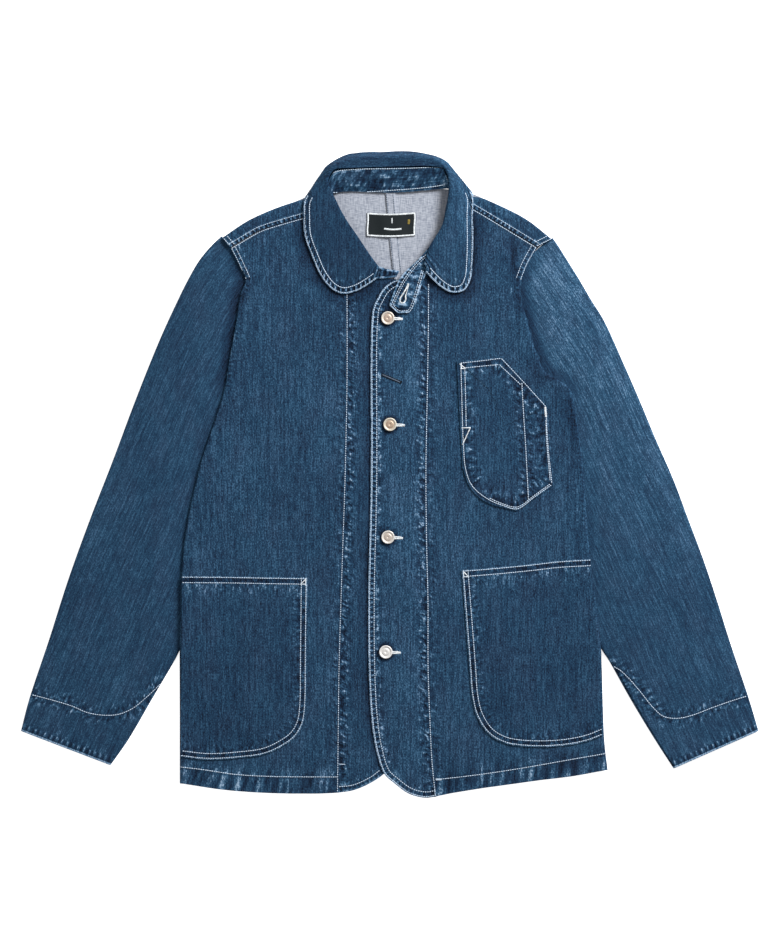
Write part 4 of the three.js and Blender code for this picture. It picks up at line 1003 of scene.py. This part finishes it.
LABEL_WIDTH, LABEL_HEIGHT, LABEL_THICKNESS = 58, 28, 0.8
LABEL_X, LABEL_Y = 1.3, 298.4
label_u, label_v = np.meshgrid(np.linspace(-0.5, 0.5, 59), np.linspace(-0.5, 0.5, 29))
label_x = LABEL_X + LABEL_WIDTH * label_u + 0.4 * np.sin(6 * label_v)
label_y = LABEL_Y + LABEL_HEIGHT * label_v - 1.1 * np.cos(4 * label_u) + 0.5 * label_u + 0.7
label_z = CLOTH + SEAM_GAP + LABEL_THICKNESS / 2 + 0.3 + 0.25 * billow(label_x, label_y, 14, 51)
label_z = label_z + 1.2 * np.exp(-((label_x - 2) / 15) ** 4)
label_grid = np.stack([label_x, label_y, label_z], -1)
black_tape = label_tape("black_woven_tape", "#161d20")
label_weave = label_grid[..., :2]
label = cloth("neck_label", label_grid, LABEL_THICKNESS, label_weave, {}, [black_tape])
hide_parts("neck_label")


# The tack buttons: caps pressed from sheet metal, with a dished ring round a raised centre, silver wearing
# to copper. Each is hammered onto a tack through the right front.
def tack_metal(name, centre, rim_colour, middle_colour):
    """Zinc-plated copper alloy, tumbled with the jacket: the middle has worn to the copper, the rim not."""
    tree, shader, material = new_material(name)
    place = add_node(tree, "TexCoord").outputs["Object"]
    off = add_node(tree, "VectorMath", [place, centre], operation="SUBTRACT")
    off = add_node(tree, "VectorMath", [off, (1, 1, 0)], operation="MULTIPLY")
    radius = add_node(tree, "VectorMath", [off], operation="LENGTH").outputs["Value"]
    patches = add_node(tree, "TexNoise", {"Vector": place, "Scale": 300.0, "Detail": 3.0})
    ragged = add_node(tree, "Math", [patches, 0.002, radius], operation="MULTIPLY_ADD")
    shares = add_node(tree, "MapRange", [ragged, 0.0056, 0.0078, 0.0, 1.0])
    mixed = add_node(tree, "Mix", {0: shares, 6: linear(middle_colour), 7: linear(rim_colour)},
                     data_type="RGBA")
    tree.links.new(mixed.outputs[2], shader.inputs["Base Color"])
    bump = add_node(tree, "Bump", {"Height": patches, "Strength": 0.25, "Distance": 0.0002})
    tree.links.new(bump.outputs[0], shader.inputs["Normal"])
    shader.inputs["Metallic"].default_value = 0.45
    shader.inputs["Roughness"].default_value = 0.5
    return material


BUTTONS = {
    "button_1": {"place": BUTTON_PLACES[0], "rim": "#d8d1c6", "middle": "#b5a293"},
    "button_2": {"place": BUTTON_PLACES[1], "rim": "#d6cfc0", "middle": "#ad9783"},
    "button_3": {"place": BUTTON_PLACES[2], "rim": "#dcd8d2", "middle": "#bcb0a6"},
    "button_4": {"place": BUTTON_PLACES[3], "rim": "#e6e4e2", "middle": "#d9d6d3"},
}
CAP_RADIUS, CAP_HEIGHT = 0.0079, 0.0024
NECK_INSET = 0.0058
# The cap's face from the rim inwards: rolled rim, dished ring, low raised disc and its dimple. Each step is
# how far in and how far up.
CAP_STEPS = ((0.0012, 0.0002), (0.0008, -0.0009), (0.0014, -0.0001), (0.0008, 0.0006), (0.0022, 0.0001),
             (0.0006, -0.0004))


def button_faces(mesh, test):
    """Selects the faces whose middle passes a test, in face mode, before edit mode is entered."""
    bpy.ops.object.mode_set(mode="OBJECT")
    for part in (mesh.vertices, mesh.edges, mesh.polygons):
        part.foreach_set("select", [False] * len(part))
    for face in mesh.polygons:
        face.select = test(face)
    bpy.ops.object.mode_set(mode="EDIT")


def button(name, facts):
    """A cap and the neck under it, from one cylinder."""
    low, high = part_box(name)
    bpy.ops.object.select_all(action="DESELECT")
    x, y = facts["place"]
    middle = (x * MM, y * MM, high.z - CAP_HEIGHT / 2)
    neck_length = high.z - CAP_HEIGHT - low.z
    bpy.ops.mesh.primitive_cylinder_add(vertices=48, radius=CAP_RADIUS, depth=CAP_HEIGHT, location=middle)
    piece = bpy.context.object
    piece.name = name + "_tack"
    bpy.ops.object.transform_apply(location=True, rotation=True, scale=True)
    bpy.ops.object.mode_set(mode="EDIT")
    bpy.ops.mesh.select_mode(type="FACE")
    button_faces(piece.data, lambda face: face.normal.z > 0.9)
    for inset, rise in CAP_STEPS:
        bpy.ops.mesh.inset(thickness=inset)
        bpy.ops.transform.translate(value=(0, 0, rise))
    button_faces(piece.data, lambda face: face.normal.z < -0.9)
    bpy.ops.mesh.inset(thickness=NECK_INSET)
    bpy.ops.mesh.extrude_region_move(TRANSFORM_OT_translate={"value": (0, 0, -neck_length)})
    bpy.ops.object.mode_set(mode="OBJECT")
    bpy.ops.object.modifier_add(type="BEVEL")
    piece.modifiers[-1].width = 0.0003
    piece.modifiers[-1].segments = 2
    piece.modifiers[-1].limit_method = "ANGLE"
    bpy.ops.object.modifier_apply(modifier=piece.modifiers[-1].name)
    bpy.ops.object.shade_smooth_by_angle(angle=math.radians(40))
    metal = tack_metal("tumbled_tack_metal_" + name[-1], middle, facts["rim"], facts["middle"])
    piece.data.materials.append(metal)
    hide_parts(name)
    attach(piece, "root")
    return piece


for button_name, button_facts in BUTTONS.items():
    button(button_name, button_facts)


# The sewing: off-white cotton lockstitch, 2.7 mm to the stitch, laid on the finished cloth. Each stitch is
# a short fat loop of thread whose ends dive into the cloth.
STITCH, STITCH_GAP, THREAD = 2.3, 0.4, 0.95


def cotton_thread(name, colour):
    """Twisted cotton thread, washed: matt, a little uneven in colour."""
    tree, shader, material = new_material(name)
    place = add_node(tree, "TexCoord").outputs["Object"]
    uneven = add_node(tree, "TexNoise", {"Vector": place, "Scale": 350.0, "Detail": 2.0})
    colours = add_node(tree, "ValToRGB", [uneven])
    colours.color_ramp.elements[0].position = 0.35
    colours.color_ramp.elements[0].color = [c * 0.7 for c in linear(colour)[:3]] + [1]
    colours.color_ramp.elements[1].position = 0.6
    colours.color_ramp.elements[1].color = linear(colour)
    tree.links.new(colours.outputs[0], shader.inputs["Base Color"])
    shader.inputs["Roughness"].default_value = 0.8
    shader.inputs["Specular IOR Level"].default_value = 0.15
    return material


class Sewing:
    """Stitches laid on one piece of cloth, joined into one mesh at the end."""

    def __init__(self, onto):
        mesh = onto.data
        points = [v.co for v in mesh.vertices]
        self.surface = BVHTree.FromPolygons(points, [p.vertices for p in mesh.polygons])
        self.stitches = []

    def height(self, x, y):
        """The cloth's surface at a place, in millimetres, or nothing beside the cloth."""
        hit = self.surface.ray_cast(Vector((x * MM, y * MM, 0.1)), Vector((0, 0, -1)))[0]
        return None if hit is None else hit.z / MM

    def lay(self, start, end, width):
        """One stitch, if both its ends lie on the cloth."""
        heights = [self.height(*start), self.height(*end)]
        if None not in heights:
            self.stitches.append((*start, heights[0], *end, heights[1], width))

    def run(self, points, offset=0.0, width=THREAD, stitch=STITCH, gap=STITCH_GAP):
        """A line of lockstitch along a route, or beside it."""
        route = line(points)
        drawn = route(np.linspace(0, 1, int(route.length) + 2))
        way = np.gradient(drawn, axis=0)
        way /= np.linalg.norm(way, axis=1)[:, None] + 1e-9
        drawn = drawn + offset * np.stack([way[:, 1], -way[:, 0]], -1)
        length = np.concatenate([[0], np.cumsum(np.linalg.norm(np.diff(drawn, axis=0), axis=1))])
        for start in np.arange(0.3, length[-1] - stitch, stitch + gap):
            first, last = [np.array([np.interp(reached, length, drawn[:, axis]) for axis in (0, 1)])
                           for reached in (start, start + stitch)]
            self.lay(first, last, width)

    def satin(self, points, reach, width=0.8, step=0.62):
        """Close stitches lying across a route, as round a buttonhole or in a bar tack."""
        route = line(points, step=0.3)
        drawn = route(np.linspace(0, 1, max(3, int(route.length / step))))
        way = np.gradient(drawn, axis=0)
        way /= np.linalg.norm(way, axis=1)[:, None] + 1e-9
        side = np.stack([way[:, 1], -way[:, 0]], -1) * reach / 2
        for spot, out in zip(drawn, side):
            self.lay(spot - out, spot + out, width)

    def finish(self, name, material):
        """All the stitches as one mesh: three stretches of six sides each, closed at both ends."""
        rows = np.array(self.stitches)
        start, end, width = rows[:, :3], rows[:, 3:6], rows[:, 6:7]
        way = end - start
        way_unit = way / np.linalg.norm(way, axis=1)[:, None]
        side = np.cross(way_unit, [0, 0, 1.0])
        side /= np.linalg.norm(side, axis=1)[:, None]
        up = np.cross(side, way_unit)
        points = []
        for t, thick, lift in ((0, 0.45, -0.25), (0.16, 1, 0.2), (0.84, 1, 0.2), (1, 0.45, -0.25)):
            for turn in range(6):
                angle = math.pi / 3 * turn
                reach = side * math.cos(angle) * thick + up * (math.sin(angle) * thick * 0.8 + lift)
                points.append(start + way * t + reach * width / 2)
        points = np.stack(points, 1).reshape(-1, 3) * MM
        faces = [[ring * 6 + k, ring * 6 + (k + 1) % 6, ring * 6 + 6 + (k + 1) % 6, ring * 6 + 6 + k]
                 for ring in range(3) for k in range(6)]
        caps = [[5, 4, 3, 2, 1, 0], [18, 19, 20, 21, 22, 23]]
        every = [[24 * n + k for k in face] for n in range(len(rows)) for face in faces + caps]
        mesh = bpy.data.meshes.new(name)
        mesh.from_pydata(points.tolist(), [], every)
        mesh.materials.append(material)
        mesh.polygons.foreach_set("use_smooth", [True] * len(mesh.polygons))
        piece = bpy.data.objects.new(name, mesh)
        bpy.context.collection.objects.link(piece)
        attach(piece, "root")


white_cotton = cotton_thread("washed_white_cotton", "#c6d8ea")
bright_cotton = cotton_thread("white_buttonhole_cotton", "#e4e9ec")
grey_cotton = cotton_thread("grey_blue_cotton", "#5d6a7c")
# navy thread for the watch chain's buttonhole; in the tab's keyhole the same navy is painted shade inside the
# slit
navy_cotton_and_slit_shade = cotton_thread("navy_buttonhole_cotton_and_slit_shade", "#0a1018")
gold_cotton = cotton_thread("gold_label_yarn", "#8c7a3c")

# The fronts' sewing: one line for each facing, double rows down the crossing edge and round the armholes,
# the hems, and a bar tack where each facing meets its hem.
HEM_ROW_RIGHT = from_picture((180, 766.5), (201.7, 769), (236, 774), (270.5, 776), (300, 776.4),
                             (338.6, 776.5))
CORNER_ROW_RIGHT = from_picture((338.6, 786.3), (353, 784.6), (370.4, 776.8), (380.8, 769))
FACING_TACK_RIGHT = from_picture((339, 763.6), (345, 764))
HEM_ROW_LEFT = from_picture((440, 778.8), (480, 774), (520, 768), (560, 761), (605.8, 753))
FACING_TACK_LEFT = from_picture((436, 779), (441, 779))
right_sewing = Sewing(front_right)
right_sewing.run(FACING_RIGHT, gap=0.75, stitch=2.0)
right_sewing.run(HEM_ROW_RIGHT)
right_sewing.run(CORNER_ROW_RIGHT)
right_sewing.run(ARMHOLE_RIGHT[1:], offset=0.9, width=0.7)
right_sewing.run(ARMHOLE_RIGHT[1:], offset=5.6, width=0.75)
right_sewing.run(RIGHT["shoulder_seam"], offset=1.6)
right_sewing.satin(FACING_TACK_RIGHT, reach=1.1, width=0.6)
right_sewing.finish("stitches_front_right", white_cotton)

left_sewing = Sewing(front_left)
left_sewing.run(FACING_LEFT, gap=0.75, stitch=2.0, width=1.05)
left_sewing.run(CROSSING_EDGE, offset=1.4)
left_sewing.run(CROSSING_EDGE, offset=7, gap=0.75, stitch=2.0, width=1.05)
left_sewing.run(HEM_ROW_LEFT)
left_sewing.satin(FACING_TACK_LEFT, reach=2.4)
left_sewing.run(ARMHOLE_LEFT[1:], offset=-0.9, width=0.8)
left_sewing.run(ARMHOLE_LEFT[1:], offset=-6.4, width=0.75)
left_sewing.run(LEFT["shoulder_seam"], offset=-1.6)
left_sewing.finish("stitches_front_left", white_cotton)

# The buttonholes: close white stitches along both sides of each slit and across its end, showing to the
# right of the caps. The watch chain's buttonhole, between the first two, is a slanting one in dark thread.
holes = Sewing(front_left)
for cap_x, cap_y in BUTTON_PLACES:
    slit_y = cap_y - 0.8
    holes.satin([(cap_x - 5, slit_y + 1.2), (cap_x + 14.5, slit_y + 0.9)], reach=1.7)
    holes.satin([(cap_x - 5, slit_y - 1.2), (cap_x + 14.5, slit_y - 0.9)], reach=1.7)
    holes.satin([(cap_x + 12.4, slit_y), (cap_x + 17.4, slit_y - 0.4)], reach=3)
holes.finish("buttonholes", bright_cotton)
watch_hole = Sewing(front_left)
watch_hole.satin([(-9, 120.2), (13, 111.0)], reach=1.1)
watch_hole.satin([(-9.8, 117.8), (12.2, 108.6)], reach=1.1)
watch_hole.satin([(12.8, 108.6), (13.6, 111.2)], reach=2.2)
watch_hole.satin([(-10.4, 117.8), (-9.4, 120.4)], reach=1.2)
watch_hole.finish("watch_chain_buttonhole", navy_cotton_and_slit_shade)
watch_slit = Sewing(front_left)
watch_slit.satin([(-8.6, 118.8), (11.6, 110.2)], reach=1.5, width=0.9)
watch_slit.finish("watch_chain_buttonhole_slit", grey_cotton)

# The pockets' sewing: two rows round each patch, two under each mouth, and bar tacks at the corners that
# take the strain. The chest pocket has its own rows, and a row for its pen channel.
CHEST_ROWS = [
    from_picture((489, 498), (503, 504), (517, 507), (534, 495.4), (551, 483)),
    from_picture((464.6, 368), (465.4, 400), (466, 427.6)),
    from_picture((460, 363.4), (480, 361.2), (501, 358.6)),
    from_picture((501, 358.6), (522, 381), (545.6, 407)),
    from_picture((464.5, 368.2), (480, 366.6), (499, 364.8)),
    from_picture((499, 364.8), (521.5, 386)),
    PEN_LINE,
    from_picture((545.6, 409), (546.6, 432), (548.4, 455), (551.4, 483)),
    from_picture((545.4, 420), (546.2, 440), (548.0, 462), (549.8, 482)),
]
CHEST_OUTER_ROW = from_picture((460.6, 364), (461.4, 390), (462.4, 427), (463.2, 445), (465.6, 470),
                               (472, 486), (487.6, 499), (502.5, 505.4), (517, 508.8), (534, 497),
                               (552.4, 484))
CHEST_SIDE_TACK = from_picture((544.8, 407.4), (545.6, 416.8))
CHEST_TACKS = [
    from_picture((461.6, 428), (470, 427.8)),
    from_picture((470, 428), (462.4, 444.5)),
    from_picture((459.8, 364.2), (465, 368.6)),
    from_picture((460.6, 368.8), (465, 368.8)),
    from_picture((461, 364), (461.4, 369)),
]
# Each bar of a hip pocket's corner tack, from the mouth's inner corner: how far out and up, at both ends
HIP_TACKS = (((2, -2), (8, -8)), ((8, -8), (2.4, -8)), ((2, -2), (2.2, -9)))


def sew_chest_pocket(sewing, tacks):
    sewing.run(CHEST_OUTER_ROW, gap=0.2)
    for row in CHEST_ROWS:
        sewing.run(row)
    tacks.satin(CHEST_SIDE_TACK, reach=2.6)
    for bar in CHEST_TACKS:
        tacks.satin(bar, reach=1.3)


def sew_hip_pocket(sewing, tacks, facts):
    side = facts["half"]["side"]
    for route, offset in ((facts["sewn"], 1.5), (facts["sewn"], 7.2), (facts["top"], 1.5), (facts["top"], 8)):
        sewing.run(route, offset=-side * offset)
    corner_x, corner_y = facts["top"][-1]
    for bar in HIP_TACKS:
        tacks.satin([(corner_x + side * out, corner_y + up) for out, up in bar], reach=1.2)


for pocket_name, pocket_piece in pockets.items():
    pocket_sewing, pocket_tacks = Sewing(pocket_piece), Sewing(pocket_piece)
    if pocket_name == "chest_pocket":
        sew_chest_pocket(pocket_sewing, pocket_tacks)
    else:
        sew_hip_pocket(pocket_sewing, pocket_tacks, POCKETS[pocket_name])
    pocket_tacks.finish("tacks_" + pocket_name, bright_cotton)
    pocket_sewing.finish("stitches_" + pocket_name, white_cotton)

# The sleeves' sewing: one curved line above each cuff, where the facing inside it ends.
for sleeve_piece, sleeve_name in ((sleeve_right, "sleeve_right"), (sleeve_left, "sleeve_left")):
    cuff_sewing = Sewing(sleeve_piece)
    cuff_sewing.run(CUFF_LINES[sleeve_name])
    cuff_sewing.finish("stitches_" + sleeve_name, white_cotton)

# The collar's sewing: two rows round each leaf's free edge, one along each edge of the stand, two round the
# tab, and the tab's keyhole buttonhole.
TAB_ROW = from_picture((430, 252), (418, 261.5), (403, 281), (390.6, 306), (398.4, 313.4), (409, 313),
                       (412, 309), (421, 281), (424, 270))
STAND_TOP_ROW = from_picture((329, 177), (336.5, 172.6), (357, 170.4), (397, 169.6), (430.6, 168.6),
                             (443, 169))
STAND_FOOT_ROW = from_picture((332.9, 193), (343.6, 192.6), (370.4, 192), (383.7, 191.2), (410.5, 189.4),
                              (430.6, 187.4), (446.7, 185))
KEYHOLE = [(22.4, 227.6), (20.9, 222), (18.6, 214), (18.7, 208.4), (16.8, 205), (13.8, 204.6), (11.6, 207),
           (12.4, 210.6), (15.8, 216), (19.6, 222.4), (21.6, 227.6)]
# The keyhole's slit and eye, where navy stitches are painted shade for the dark opening
KEYHOLE_SLIT_SHADE, KEYHOLE_EYE_SHADE = [(20.4, 221), (17, 212), (15.6, 208.6)], [(14.8, 208), (14.4, 206.4)]
fall_sewing = Sewing(fall)
right_leaf = [tuple(row[9:11]) for row in FALL[:11]]
left_leaf = [tuple(row[9:11]) for row in FALL[18:]]
for leaf in (right_leaf, left_leaf):
    fall_sewing.run(leaf, offset=-1.1, width=0.7)
    fall_sewing.run(leaf, offset=-6.9, gap=0.25, width=1.05)
fall_sewing.finish("stitches_collar_fall", white_cotton)

stand_sewing = Sewing(stand)
stand_sewing.run(TAB_ROW, offset=-0.4, gap=0.6)
stand_sewing.run(TAB_ROW, offset=-2.6, gap=0.6, width=0.7)
stand_sewing.run(STAND_TOP_ROW)
stand_sewing.run(STAND_FOOT_ROW)
stand_sewing.finish("stitches_collar_stand", white_cotton)

tab_hole = Sewing(stand)
tab_hole.satin(KEYHOLE, reach=1.7)
tab_hole.finish("tab_buttonhole", bright_cotton)
# painted shade: navy stitches down the keyhole's slit and in its eye stand for the shade inside the opening
tab_slit_shade = Sewing(stand)
tab_slit_shade.satin(KEYHOLE_SLIT_SHADE, reach=1.3, width=1.1)
tab_slit_shade.satin(KEYHOLE_EYE_SHADE, reach=2.2, width=1.3)
tab_slit_shade.finish("tab_buttonhole_painted_shade", navy_cotton_and_slit_shade)

# Inside the neck and on the shoulders: the label's overlocked border and bars, the rows that fell the
# shoulder edges on the back's flaps, and the two grey rows of the felled centre seam.
LONG_BAR = [(LABEL_X - 8, LABEL_Y - 4.4), (LABEL_X + 2, LABEL_Y - 5.4), (LABEL_X + 12, LABEL_Y - 4.6)]
SHORT_BAR = [(LABEL_X + 1, LABEL_Y + 8), (LABEL_X + 1, LABEL_Y + 2.5)]
GOLD_BAR = [(LABEL_X + 21, LABEL_Y + 1.5), (LABEL_X + 21.4, LABEL_Y + 6.5)]
CENTRE_SEAM = [(-5.5, 336), (-0.5, 282), (4.2, 240), (6, 228)]
label_sewing = Sewing(label)
inset = label_grid[1:-1, 1:-1, :2]
border = np.concatenate([inset[0, :-1], inset[:-1, -1], inset[-1, :0:-1], inset[:0:-1, 0], inset[0, :1]])
label_sewing.satin(border, reach=1.9, width=1.0)
label_sewing.satin(LONG_BAR, reach=2.2)
label_sewing.satin(SHORT_BAR, reach=1.6)
label_sewing.finish("label_border", bright_cotton)
gold_sewing = Sewing(label)
gold_sewing.satin(GOLD_BAR, reach=3)
gold_sewing.finish("label_bar", gold_cotton)
for flap, half, side_name in ((back_right, RIGHT, "right"), (back_left, LEFT, "left")):
    flap_sewing = Sewing(flap)
    flap_end = [half["shoulder_seam"][0], half["shoulder_fold"][0]]
    for offset in (1.2, 6.2):
        flap_sewing.run(flap_end, offset=-half["side"] * offset)
    flap_sewing.run(half["shoulder_seam"], offset=half["side"] * 4.6, width=0.7)
    flap_sewing.finish("stitches_shoulder_" + side_name, white_cotton)
seam_sewing = Sewing(back_left)
for beside in (1.2, 9):
    seam_sewing.run([(x + beside, y) for x, y in CENTRE_SEAM], width=0.9, gap=0.3)
seam_sewing.finish("stitches_back_centre", grey_cotton)
